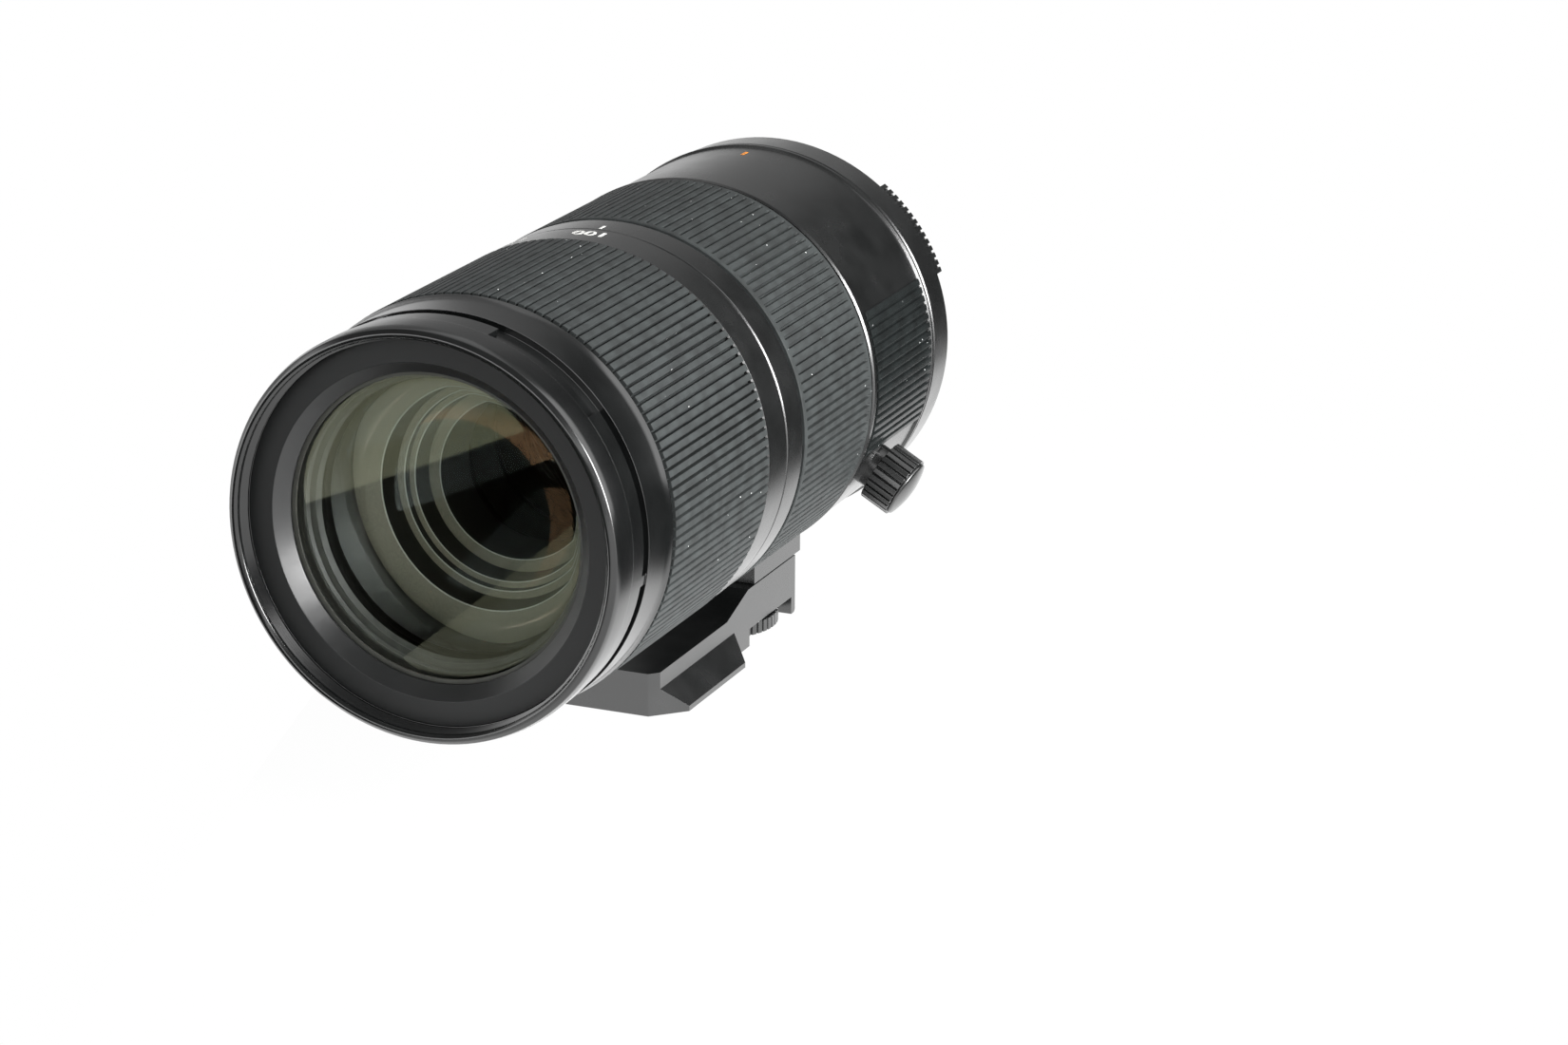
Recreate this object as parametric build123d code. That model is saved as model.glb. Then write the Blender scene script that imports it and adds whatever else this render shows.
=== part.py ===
from build123d import *
from math import cos, sin, radians, degrees, sqrt, atan
import os

# Telephoto zoom lens on its tripod foot, millimetres and degrees.
# The optical axis is the Y axis and the front glass looks along -Y. The origin is the centre of the
# camera mount's flange. A station is a distance behind the front rim, and an angle is turned about
# the axis from straight up towards +X.
# The radii build up from the bore of the sliding front tube, and the stations from the front rim.

# Whole lens
tube_bore_r = 36.7          # bore of the front tube, which sets the diameter of everything round it
zoom_travel = 70.0          # how far the front barrel slides out
zoom_angle = 92.0           # turn of the zoom ring from its short to its long end
overrun = 0.5               # how far a cut runs past the face it opens
edge = 0.4                  # chamfer on the ends of smooth rings

# Clearances
slide_gap = 0.1             # radial, between tubes that slide or turn in each other
ring_gap = 0.08             # radial, under the rings that turn on the main barrel
seat_gap = 0.04             # radial, between turned pieces fixed to each other
face_gap = 0.25             # along the axis, between neighbouring rings that move
roller_gap = 0.15           # each side of a follower in its slot
bolt_gap = 0.1              # radial, round a screw in its hole
joint_gap = 0.3             # between the knob and its boss, and between the pedestal and the foot

# Walls of the nested tubes, from the front tube outwards
tube_wall = 1.3
cam_wall = 1.4
main_wall = 1.4
tube_r = tube_bore_r + tube_wall
cam_bore_r = tube_r + slide_gap
cam_r = cam_bore_r + cam_wall
main_bore_r = cam_r + slide_gap
main_r = main_bore_r + main_wall
sleeve_bore = main_r + ring_gap

# Filter ring and the hood's bayonet, from the front rim
cell_flange = 1.8           # how far the front cell stands out past the tube's bore
cell_r = tube_bore_r + cell_flange
spigot_wall = 1.9
seat_r = cell_r + slide_gap
filter_spigot_r = seat_r + spigot_wall
thread_step = 0.5
thread_r = filter_spigot_r + thread_step
thread_lead = 0.6
rim_wall = 2.5
rim_face = 1.2
rim_r = thread_r + rim_wall
rim_face_r = thread_r + rim_face
rim_shoulder = 2.4
rim_slope_share = 1 / 3     # of the shoulder, to the corner between its slopes
rim_rear = 8.2
hood_gap = 0.2
hood_lip_drop = 0.4
hood_lip_length = 5.1
hood_groove_depth = 1.2
hood_groove_length = 1.9
hood_lip_r = rim_r - hood_lip_drop
hood_lip_front = rim_rear + hood_gap
hood_lip_rear = hood_lip_front + hood_lip_length
groove_r = hood_lip_r - hood_groove_depth
groove_rear = hood_lip_rear + hood_groove_length
shell_drop = 0.1
shell_band = 8.2
shell_flare_length = 2.2
shell_flare_rise = 0.6
shell_r = rim_r - shell_drop
shell_flare = groove_rear + shell_band
shell_rear = shell_flare + shell_flare_length
shell_rear_r = shell_r + shell_flare_rise
entry_count = 3
entry_start = 16.0
entry_arc = 35.0
stop_start = 98.0
stop_arc = 3.0

# Front tube's flange
flange_setback = 3.8        # from the shell's rear end to the flange's front
tube_flange = 2.6
spigot_room = 2.0
tube_front = shell_rear - flange_setback
tube_flange_rear = tube_front + tube_flange
filter_spigot_rear = tube_front - spigot_room

# Front glass, its cell, the name ring and its bevel
glass_inset = 3.1           # from the tube's bore to the front element's edge
front_glass_r = tube_bore_r - glass_inset
front_glass_thickness = 5.6
front_glass_sag = 3.4
front_glass_back_sag = 1.2
bevel_overlap = 1.0
bevel_width = 2.7
bevel_inner_r = front_glass_r - bevel_overlap
name_inner_r = bevel_inner_r + bevel_width
name_step = 0.5             # the name ring's seat is smaller than the thread
name_seat_r = thread_r - name_step
name_face = 4.45
name_thickness = 1.15
name_rear = name_face + name_thickness
bevel_depth = 2.95
bevel_lip = 0.6
bevel_rear = name_face + bevel_depth
bevel_back = bevel_rear + bevel_lip
retainer_cover = 1.8
retainer_flange = 2.0
retainer_thickness = 0.85
retainer_relief = 0.45
retainer_bore_r = front_glass_r - retainer_cover
retainer_r = front_glass_r + retainer_flange
retainer_front = bevel_back + slide_gap
front_glass_edge = retainer_front + retainer_thickness + seat_gap
front_glass_seat = front_glass_edge + front_glass_thickness
cell_step = 2.6
cell_step_length = 1.8
cell_throat_length = 2.6
cell_step_r = front_glass_r - cell_step
cell_ledge = front_glass_seat + cell_step_length
doublet_inset = 3.2
doublet_r = front_glass_r - doublet_inset
doublet_front = cell_ledge + cell_throat_length
doublet_lip = 1.0
cell_throat_r = doublet_r - doublet_lip
doublet_crown = 3.2
doublet_flint = 6.6
doublet_front_sag = 2.2
doublet_joint_sag = -3.2
doublet_rear_sag = 1.0
doublet_ring_wall = 2.0
doublet_ring_bore = doublet_r - doublet_ring_wall
doublet_ring_length = 2.0
cement = 0.02               # between the two elements of a doublet
glass_rim = 2.0             # flat ground rim round each element's curved face
cell_tail = 5.18            # from the doublet to the cell's rear end
cell_rear = doublet_front + doublet_crown + doublet_flint + cement + cell_tail

# Zoom ring
shell_gap = 0.4             # from the front shell to the zoom ring, at the short end
zoom_grip_length = 49.1
zoom_band_length = 9.8
band_wall = 2.82
sleeve_wall = 1.12
lip_height = 0.8
lip_length = 0.8
rib_count = 134
rib_base = 0.95
rib_height = 0.95
rib_foot_share = 0.82       # of the pitch, at the rib's root
rib_top_share = 0.60        # of the pitch, at the rib's top
knurl_foot_share = 0.88     # of the pitch, at the root of a tooth on the knob and the wheel
knurl_top_share = 0.66      # of the pitch, at its top
zoom_front = shell_rear + shell_gap
zoom_band_front = zoom_front + zoom_grip_length
zoom_rear = zoom_band_front + zoom_band_length
band_r = sleeve_bore + band_wall
sleeve_r = sleeve_bore + sleeve_wall
lip_r = sleeve_r + lip_height
rib_root_r = sleeve_r + rib_base
zoom_rib_r = rib_root_r + rib_height

# Index ring
index_wall = 2.8
index_length = 8.65
index_r = main_r + index_wall
index_rear = zoom_rear + face_gap + index_length

# Focus ring
focus_length = 40.05
focus_rib_count = 136
focus_base = 1.1
focus_rib_height = 0.6
focus_rear = index_rear + face_gap + focus_length
focus_root_r = sleeve_r + focus_base
focus_rib_r = focus_root_r + focus_rib_height

# Tripod collar
collar_length = 36.95
collar_wall = 2.5
collar_lip = 1.6
collar_lip_height = 0.5
patch_margin = 2.65
patch_length = 32.4
patch_base = 0.1
patch_rib_height = 0.5
patch_start = 68.0          # angle from the top to the first rib, on each side
patch_ribs = 17
patch_pitch = 360 / rib_count
collar_front = focus_rear + face_gap
collar_rear = collar_front + collar_length
collar_r = main_r + collar_wall
collar_lip_r = collar_r + collar_lip_height
patch_front = collar_front + patch_margin
patch_rear = patch_front + patch_length
patch_root_r = collar_r + patch_base
patch_top_r = patch_root_r + patch_rib_height

# Rear barrel
rear_band_length = 9.8
rear_taper_length = 12.05
rear_end_length = 1.2
rear_wall_depth = 4.0
rear_bore_depth = 8.25
rear_wall = 2.9
rear_band_drop = 0.5
rear_grip_start = 38.0      # short ribs at the band's rear edge, on the right
rear_grip_ribs = 14
rear_grip_pitch = 2.35
rear_grip_length = 2.9
rear_grip_height = 0.6
rear_grip_root = 3.0        # how far the ribs' pad reaches into the taper
rear_front = collar_rear + face_gap
rear_band_rear = rear_front + rear_band_length
rear_taper_end = rear_band_rear + rear_taper_length
rear_face = rear_taper_end + rear_end_length
rear_wall_front = rear_face - rear_wall_depth
rear_bore_rear = rear_front + rear_bore_depth
rear_barrel_r = main_r + rear_wall
rear_band_r = rear_barrel_r - rear_band_drop

# Camera mount
plate_thickness = 3.2
length = rear_face + plate_thickness   # front rim to mount flange, with the zoom at its short end
throat_r = 23.8
mount_spigot_wall = 1.5
lug_height = 2.1
flange_width = 7.3
screw_setback = 4.1         # from the spigot to the mount screws' circle
spigot_r = throat_r + mount_spigot_wall
lug_r = spigot_r + lug_height
flange_r = spigot_r + flange_width
mount_screw_circle = spigot_r + screw_setback
spigot_length = 5.2
lug_setback = 2.2
lug_thickness = 1.6
spigot_rear = length + spigot_length
lug_front = length + lug_setback
lug_rear = lug_front + lug_thickness
lug_count = 4
lug_arc = 38.0
lug_start = 20.0
gasket_width = 1.0
gasket_gap = 0.2
gasket_r = flange_r + gasket_width
gasket_front = rear_face + gasket_gap
gasket_rear = length - gasket_gap
mount_screw_count = 4
mount_head_r = 1.7
mount_head_depth = 1.1
mount_shank_r = 0.8
mount_screw_depth = 6.0
taper_step = 1.2
rear_inner_step = 1.0
rear_taper_r = flange_r + taper_step
rear_inner_r = flange_r - rear_inner_step
contact_angle = 56.0
contact_height = 4.2
contact_sink = 0.4
contact_drop = 0.8
contact_count = 10
contact_pin_r = 0.7
contact_pin_out = 0.5
contact_r = throat_r - contact_height
contact_front = length + contact_sink
contact_rear = spigot_rear - contact_drop
baffle_setback = 1.4
baffle_thickness = 1.4
baffle_front = rear_face + baffle_setback
baffle_rear = baffle_front + baffle_thickness
window_rim = 4.344          # from the window's corners to the baffle's edge
window_aspect = 16 / 11     # width to height
window_corner = throat_r - seat_gap - window_rim
window_slant = atan(1 / window_aspect)
window_width = 2 * window_corner * cos(window_slant)
window_height = 2 * window_corner * sin(window_slant)

# Pedestal under the collar and the foot that hangs on it
arm_half = 14.2
pedestal_margin = 2.75
pedestal_length = 27.0
pedestal_drop = 6.0
foot_height = 13.8
plate_height = 9.8
plate_length = 38.5
foot_nose_half = 12.2
dovetail_flare = 4.8
dovetail_lip = 1.2
arm_rise = 12.1             # along the axis, from the plate to the arm's shoulder
arm_lead = 3.5
arm_round = 2.0
dovetail_setback = 0.7
wheel_setback = 9.6
wheel_r = 14.9
wheel_room = 0.5            # round the wheel in its pocket
recess_half = 12.3          # from the wheel's axis to each end of the recess
heel_length = 2.2
heel_round = 0.9
recess_depth = 4.15
pedestal_front = collar_front + pedestal_margin
pedestal_rear = pedestal_front + pedestal_length
pedestal_bottom = -(collar_r + pedestal_drop)
arm_joint = pedestal_bottom - joint_gap
table = arm_joint - foot_height          # height of the foot's underside
foot_top = table + plate_height
dovetail_half = arm_half + dovetail_flare
arm_shoulder = pedestal_front - arm_lead
arm_start = arm_shoulder - arm_rise
dovetail_rear = arm_start - dovetail_setback
foot_front = arm_start - plate_length
wheel_station = pedestal_front + wheel_setback
recess_front = wheel_station - recess_half
recess_rear = wheel_station + recess_half
recess_roof = table + recess_depth
foot_rear = recess_rear + heel_length

# Thumb wheel that clamps the foot
wheel_clear = 0.4
wheel_lift = 0.9
wheel_teeth = 52
wheel_tooth = 0.5
wheel_shank_r = 2.5
wheel_bite = 4.5
wheel_top = recess_roof - wheel_clear
wheel_bottom = table + wheel_lift
wheel_shank_top = pedestal_bottom + wheel_bite

# Screw holes in the foot's underside: 1/4 inch and 3/8 inch threads
small_thread_r = 3.175
large_thread_r = 4.7625
small_thread_setback = 13.0
large_thread_setback = 29.0
thread_depth = 7.0
small_thread_station = foot_front + small_thread_setback
large_thread_station = foot_front + large_thread_setback

# Lock knob on the collar
knob_angle = 120.0
knob_setback = 15.45
knob_boss_r = 5.2
knob_boss_height = 1.8
knob_r = 7.2
knob_tooth = 0.6
knob_teeth = 27
knob_height = 7.0
knob_cap_edge = 0.6
knob_dome = 1.2
knob_shank_r = 1.9
pad_r = 3.0
pad_gap = 0.15
pad_thickness = 0.85
knob_station = collar_front + knob_setback
knob_boss_top = collar_r + knob_boss_height
knob_base = knob_boss_top + joint_gap
knob_end = knob_base + knob_height
pad_base = main_r + pad_gap
pad_top = pad_base + pad_thickness

# Main barrel
main_setback = 1.8
main_tail = 1.05
bushing_length = 6.0
main_front = zoom_front + main_setback
main_rear = rear_front + main_tail
bushing_rear = main_front + bushing_length

# Cam barrel and the followers of the front tube
cam_setback = 22.0
cam_end_room = 5.0
stop_room = 1.0             # spare length at the ends of the straight grooves
follower_count = 3          # in each set, round the tube
follower_angle = 30.0
follower_r = 2.0
follower_bite = 0.65        # how far a follower reaches into the main barrel's groove
groove_room = 0.2
cam_front = main_front + cam_setback
follower_station = cam_front + cam_end_room + follower_r + zoom_travel
cam_rear = follower_station + follower_r + cam_end_room
tube_rear = cam_rear
follower_top = main_bore_r + follower_bite
groove_top = follower_top + groove_room

# Drive key from the zoom ring to the cam barrel
key_angle = 44.0
key_setback = 4.7
key_width = 6.0
key_length = 5.0
key_reach = 0.92            # how far the key stands into the zoom sleeve
key_room = 1.2
key_station = zoom_band_front + key_setback
key_top = sleeve_bore + key_reach

# Zooming group
variator_setback = 26.0
variator_travel = 20.0
variator_lead = 27.0        # angle from the front tube's followers
variator_roller_r = 1.5
variator_roller_depth = 3.6
variator_half = 7.0
variator_inset = 12.1
variator_lip = 1.6
variator_thickness = 3.2
variator_sag = 2.4
variator_station = cam_front + variator_setback
variator_angle = follower_angle + variator_lead
variator_r = tube_bore_r - slide_gap
variator_roller_foot = variator_r - variator_roller_depth
variator_glass_r = tube_bore_r - variator_inset
variator_bore = variator_glass_r - variator_lip

# Inner frame
frame_inset = 3.7
frame_wall = 1.8
frame_room = 12.0
frame_flange = 3.2
web_reach = 5.2
web_length = 2.0
rear_web_setback = 14.8
frame_r = tube_bore_r - frame_inset
frame_bore = frame_r - frame_wall
frame_front = variator_station + variator_half + frame_room
frame_flange_rear = main_rear + frame_flange
web_bore = frame_bore - web_reach
rear_web = main_rear - rear_web_setback

# Iris
blade_count = 7
iris_opening = 9.7          # from the frame's bore to the edge of the iris's base
iris_setback = 1.0
iris_base_length = 1.4
blade_thickness = 0.14
blade_pitch = 0.26
pin_inset = 1.9
pin_r = 0.45
pin_gap = 0.06
drive_pin_angle = 12.0
blade_margin = 0.8
blade_outer_inset = 1.2
blade_lobe_rise = 1.0
blade_lobe_start = -2.0
blade_lobe_end = 14.5
blade_end = 66.0
drive_land = 0.4            # metal left between a slot's inner end and the drive ring's bore
drive_ring_rise = 1.6
drive_ring_length = 1.0
iris_gap = 0.15
iris_turn = 20.0
blade_turn = 30.0
iris_bore = frame_bore - iris_opening
iris_front = frame_front + iris_setback
iris_base_rear = iris_front + iris_base_length
pin_circle = frame_bore - pin_inset
blade_inner_r = iris_bore + blade_margin
blade_outer_r = pin_circle - blade_outer_inset
blade_lobe_r = pin_circle + blade_lobe_rise
drive_lever = 2 * pin_circle * sin(radians(drive_pin_angle / 2))
drive_slant = radians(90 - drive_pin_angle / 2 - blade_turn)
drive_cross = 2 * pin_circle * drive_lever * cos(drive_slant)
drive_pin_inner_r = sqrt(pin_circle ** 2 + drive_lever ** 2 - drive_cross)
drive_slot_half = pin_r + 2 * pin_gap
drive_ring_bore = drive_pin_inner_r - drive_slot_half - drive_land
drive_ring_r = pin_circle + drive_ring_rise
blade_front = iris_base_rear + iris_gap
blade_rear = blade_front + blade_count * blade_pitch
drive_front = blade_rear + iris_gap

# Fixed relay group
relay_length = 9.0
relay_inset = 9.8
relay_lip = 1.4
relay_mouth = 0.5
relay_thickness = 5.0
relay_sag = 1.8
relay_recess = 2.0
relay_front = drive_front + drive_ring_length + iris_gap
relay_glass_r = frame_bore - relay_inset
relay_bore = relay_glass_r - relay_lip
relay_lip_r = relay_glass_r + relay_mouth

# Focus group, which slides on two rods
focus_cell_length = 7.0
focus_back_room = 9.0
focus_travel = 12.0
focus_room = 1.0            # spare length ahead of the focus cell's travel
focus_inset = 12.8
focus_lip = 1.4
focus_cell_wall = 6.6
focus_glass_thickness = 2.6
focus_glass_sag = 1.5
rod_inset = 2.9
rod_r = 0.9
rod_gap = 0.05
ear_r = 2.3
rod_angle = 70.0
coil_angle = 180.0
coil_width = 12.0
coil_depth = 3.6
coil_air = 0.4
magnet_width = 14.0
magnet_thickness = 1.8
magnet_inset = 0.8
magnet_rest = 0.2
focus_cell_front = rear_web - focus_back_room - focus_cell_length
front_web = focus_cell_front - focus_travel - focus_room - web_length
focus_glass_r = frame_bore - focus_inset
focus_cell_bore = focus_glass_r - focus_lip
focus_cell_r = focus_glass_r + focus_cell_wall
rod_circle = frame_bore - rod_inset
magnet_outer = frame_bore - magnet_inset
magnet_inner = magnet_outer - magnet_thickness
coil_outer = magnet_inner - coil_air
coil_inner = coil_outer - coil_depth

# Rear group
rear_cell_setback = 6.0
rear_inset = 11.0
rear_cell_wall = 3.0
rear_lip = 1.8
rear_glass_setback = 10.0
rear_glass_thickness = 3.0
rear_glass_sag = 1.4
rear_cell_tail = 5.0
rear_inner_setback = 2.5
rear_inner_thickness = 4.5
rear_room = 3.8             # round the rear cell's tube
rear_cell_front = rear_web + web_length + rear_cell_setback
rear_glass_r = frame_bore - rear_inset
rear_cell_tube_r = rear_glass_r + rear_cell_wall
rear_cell_bore = rear_glass_r - rear_lip
rear_glass_station = frame_flange_rear + rear_glass_setback
rear_cell_rear = rear_glass_station + rear_cell_tail
rear_inner_station = rear_cell_front + rear_inner_setback
rear_wall_bore = rear_cell_tube_r + rear_room

# Circuit board
board_gap = 0.3
board_thickness = 1.2
board_inset = 2.5
chip_count = 5
chip_width = 6.0
chip_height = 1.0
chip_depth = 5.0
board_front = frame_flange_rear + board_gap
board_rear = board_front + board_thickness
board_bore = rear_wall_bore
board_r = main_r - board_inset
chip_circle = (board_bore + board_r) / 2


def turned(*corners):
    """Solid of revolution about the optical axis from (radius, station) corners."""
    outline = Polyline(*[(radius, station - length) for radius, station in corners], close=True)
    return revolve(make_face(outline), Axis.Y)


def ring(bore, outer, front, rear):
    return turned((bore, front), (outer, front), (outer, rear), (bore, rear))


def sector(bore, outer, front, rear, start, arc):
    """Part of a ring between two angles."""
    corners = [(bore, front), (outer, front), (outer, rear), (bore, rear)]
    outline = Polyline(*[(radius, station - length) for radius, station in corners], close=True)
    return Rot(0, start - 90, 0) * revolve(make_face(outline), Axis.Y, revolution_arc=arc)


def block(width, front, rear, inner, outer, angle=0):
    """Box standing on the barrel at an angle, between two radii."""
    box = Box(width, rear - front, outer - inner)
    return Rot(0, angle, 0) * Pos(0, (front + rear) / 2 - length, (inner + outer) / 2) * box


def radial_pin(radius, station, inner, outer, angle=0):
    pin = Cylinder(radius, outer - inner)
    return Rot(0, angle, 0) * Pos(0, station - length, (inner + outer) / 2) * pin


def upright(radius, station, bottom, height):
    """Cylinder standing on a level under the barrel."""
    post = Cylinder(radius, height, align=(Align.CENTER, Align.CENTER, Align.MIN))
    return Pos(0, station - length, bottom) * post


def axial_pin(radius, circle, angle, front, rear):
    pin = Rot(90, 0, 0) * Cylinder(radius, rear - front)
    return Rot(0, angle, 0) * Pos(0, (front + rear) / 2 - length, circle) * pin


def spread(count, start=0):
    return [start + 360 * i / count for i in range(count)]


def facing(station):
    """Drawing plane square to the axis: X across, Y up, looking out of the front."""
    return Plane(origin=(0, station - length, 0), x_dir=(1, 0, 0), z_dir=(0, -1, 0))


def polar(radius, angle):
    return (radius * sin(radians(angle)), radius * cos(radians(angle)))


def ribbed(bore, root, top, count, front, rear):
    """Ring with straight ribs all round."""
    pitch = 360 / count
    corners = []
    for angle in spread(count):
        foot = pitch * rib_foot_share / 2
        crest = pitch * rib_top_share / 2
        corners += [polar(root, angle - foot), polar(top, angle - crest)]
        corners += [polar(top, angle + crest), polar(root, angle + foot)]
    face = make_face(Polyline(*corners, close=True)) - Circle(bore)
    return extrude(facing(rear) * face, amount=rear - front)


def bow(radius, base, rise):
    """Arc from the rim of a dome to its top on the axis, where the dome stands square to the axis."""
    sphere = (radius * radius + rise * rise) / (2 * abs(rise))
    half = radius / 2
    drop = sphere - sqrt(sphere * sphere - half * half)
    middle = base + rise - (drop if rise > 0 else -drop)
    return ThreePointArc((radius, base), (half, middle), (0, base + rise))


def glass(radius, front, thickness, front_sag, rear_sag):
    """Round element. A sag is how far a face bulges forward at its middle."""
    near = front - length
    far = near + thickness
    clear = radius - glass_rim
    outline = [Line((clear, near), (radius, near)), Line((radius, near), (radius, far)),
               Line((radius, far), (clear, far)), bow(clear, far, -rear_sag),
               Line((0, far - rear_sag), (0, near - front_sag)), bow(clear, near, -front_sag)]
    return revolve(make_face(outline), Axis.Y)


def helical_slot(width, start_angle, start, travel, inner, outer):
    """Cutter for a cam slot that runs forward while the cam barrel turns by the zoom angle."""
    radius = (inner + outer) / 2
    depth = outer - inner + 2 * overrun
    path = Helix(pitch=travel * 360 / zoom_angle, height=travel, radius=radius)
    section = Plane(origin=path @ 0, x_dir=(1, 0, 0), z_dir=path % 0) * Rectangle(depth, width)
    slot = sweep(section, path=path, is_frenet=True)
    local = Plane(origin=(0, start - length, 0), x_dir=(1, 0, 0), z_dir=(0, -1, 0))
    slot = Rot(0, start_angle - 90, 0) * (local.location * slot)
    for turn, station in ((0, start), (zoom_angle, start - travel)):
        slot += radial_pin(width / 2, station, inner - overrun, outer + overrun, start_angle - turn)
    return slot


def main_barrel():
    tube = ring(main_bore_r, main_r, main_front, main_rear)
    width = 2 * (follower_r + roller_gap)
    groove_front = follower_station - zoom_travel - width / 2 - stop_room
    groove_end = main_rear + overrun
    for angle in spread(follower_count, follower_angle):
        tube -= block(width, groove_front, groove_end, cam_bore_r, groove_top, angle)
    room = degrees((key_width / 2 + key_room) / main_r)
    half = key_length / 2 + roller_gap
    inner = main_bore_r - overrun
    outer = main_r + overrun
    start = key_angle - room
    arc = zoom_angle + 2 * room
    tube -= sector(inner, outer, key_station - half, key_station + half, start, arc)
    return tube


def barrel_bushing():
    return ring(tube_r + slide_gap, main_bore_r - seat_gap, main_front, bushing_rear)


def index_ring():
    front = zoom_rear + face_gap
    bore = main_r + seat_gap
    return turned((bore, front), (index_r - edge, front), (index_r, front + edge),
                  (index_r, index_rear - edge), (index_r - edge, index_rear), (bore, index_rear))


def zoom_sleeve():
    step = zoom_band_front - edge
    sleeve = turned((sleeve_bore, zoom_front), (lip_r, zoom_front), (lip_r, zoom_front + lip_length),
                    (sleeve_r, zoom_front + lip_length), (sleeve_r, step), (band_r - edge, step),
                    (band_r, zoom_band_front), (band_r, zoom_rear - edge), (band_r - edge, zoom_rear),
                    (sleeve_bore, zoom_rear))
    half = key_length / 2 + seat_gap
    pocket = block(key_width + 2 * seat_gap, key_station - half, key_station + half,
                   sleeve_bore - overrun, key_top + bolt_gap, key_angle)
    return sleeve - pocket


def zoom_grip():
    front = zoom_front + lip_length
    rear = zoom_band_front - edge
    return ribbed(sleeve_r + seat_gap, rib_root_r, zoom_rib_r, rib_count, front, rear)


def cam_barrel():
    tube = ring(cam_bore_r, cam_r, cam_front, cam_rear)
    for angle in spread(follower_count, follower_angle):
        tube -= helical_slot(2 * (follower_r + roller_gap), angle, follower_station, zoom_travel,
                             cam_bore_r, cam_r)
    for angle in spread(follower_count, variator_angle):
        tube -= helical_slot(2 * (variator_roller_r + roller_gap), angle, variator_station,
                             variator_travel, cam_bore_r, cam_r)
    return tube


def drive_key():
    front = key_station - key_length / 2
    key = block(key_width, front, front + key_length, cam_r - overrun, key_top, key_angle)
    return key - ring(0, cam_r + seat_gap, cam_front, cam_rear)


def focus_sleeve():
    front = index_rear + face_gap
    grip_front = front + lip_length
    grip_rear = focus_rear - lip_length
    outer = focus_root_r - edge
    return turned((sleeve_bore, front), (outer, front), (outer, grip_front), (sleeve_r, grip_front),
                  (sleeve_r, grip_rear), (outer, grip_rear), (outer, focus_rear), (sleeve_bore, focus_rear))


def focus_grip():
    front = index_rear + face_gap + lip_length
    return ribbed(sleeve_r + seat_gap, focus_root_r, focus_rib_r, focus_rib_count, front,
                  focus_rear - lip_length)


def tripod_collar():
    lip_front = collar_front + edge
    lip_rear = collar_front + collar_lip
    collar = turned((sleeve_bore, collar_front), (collar_lip_r - edge, collar_front),
                    (collar_lip_r, lip_front), (collar_lip_r, lip_rear), (collar_r, lip_rear + edge),
                    (collar_r, patch_rear + edge), (collar_lip_r, patch_rear + 2 * edge),
                    (collar_lip_r, collar_rear - edge), (collar_lip_r - edge, collar_rear),
                    (sleeve_bore, collar_rear))
    middle = (pedestal_front + pedestal_rear) / 2 - length
    pedestal = Pos(0, middle, 0) * Box(2 * arm_half, pedestal_rear - pedestal_front, -pedestal_bottom,
                                       align=(Align.CENTER, Align.CENTER, Align.MAX))
    pedestal -= ring(0, sleeve_bore + edge, collar_front, collar_rear)
    collar += pedestal
    collar += radial_pin(knob_boss_r, knob_station, collar_r - edge, knob_boss_top, knob_angle)
    screw_hole = knob_shank_r + bolt_gap
    collar -= radial_pin(screw_hole, knob_station, main_r, knob_boss_top + overrun, knob_angle)
    collar -= radial_pin(pad_r + seat_gap, knob_station, main_r, pad_top + seat_gap, knob_angle)
    depth = wheel_shank_top - pedestal_bottom + 2 * overrun
    return collar - upright(wheel_shank_r + bolt_gap, wheel_station, pedestal_bottom - overrun, depth)


def rib_pad(bore, root, top, count, pitch, first, front, rear):
    """Curved pad with straight ribs. The middle of its first rib stands at an angle."""
    half_foot = pitch * rib_foot_share / 2
    half_crest = pitch * rib_top_share / 2
    outer = []
    for i in range(count):
        angle = first + i * pitch
        outer += [polar(root, angle - half_foot), polar(top, angle - half_crest)]
        outer += [polar(top, angle + half_crest), polar(root, angle + half_foot)]
    end = first + (count - 1) * pitch + half_foot
    start = first - half_foot
    inner = ThreePointArc(polar(bore, end), polar(bore, (start + end) / 2), polar(bore, start))
    ribs = Polyline(*outer)
    face = make_face([ribs, Line(outer[-1], polar(bore, end)), inner, Line(polar(bore, start), outer[0])])
    return extrude(facing(rear) * face, amount=rear - front)


def rib_patches():
    """Ribbed pads on the collar's band, one on each side."""
    bore = collar_r + seat_gap
    pad = rib_pad(bore, patch_root_r, patch_top_r, patch_ribs, patch_pitch, patch_start, patch_front,
                  patch_rear)
    return Compound([pad.solid(), mirror(pad, Plane.YZ).solid()])


def foot_side():
    """Side view of the foot: plate, rising arm and heel, with the wheel's recess under the arm."""
    outline = [(foot_front, table), (foot_front, foot_top), (arm_start, foot_top),
               (arm_shoulder, arm_joint), (foot_rear, arm_joint), (foot_rear, table),
               (recess_rear, table), (recess_rear, recess_roof), (recess_front, recess_roof),
               (recess_front, table)]
    face = make_face(Polyline(*[(station - length, height) for station, height in outline], close=True))
    for station, height, radius in ((arm_shoulder, arm_joint, arm_round), (foot_rear, table, heel_round)):
        corner = face.vertices().sort_by_distance(Vertex(station - length, height, 0))[0]
        face = fillet(corner, radius)
    return extrude(Plane.YZ * face, amount=dovetail_half, both=True)


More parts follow.
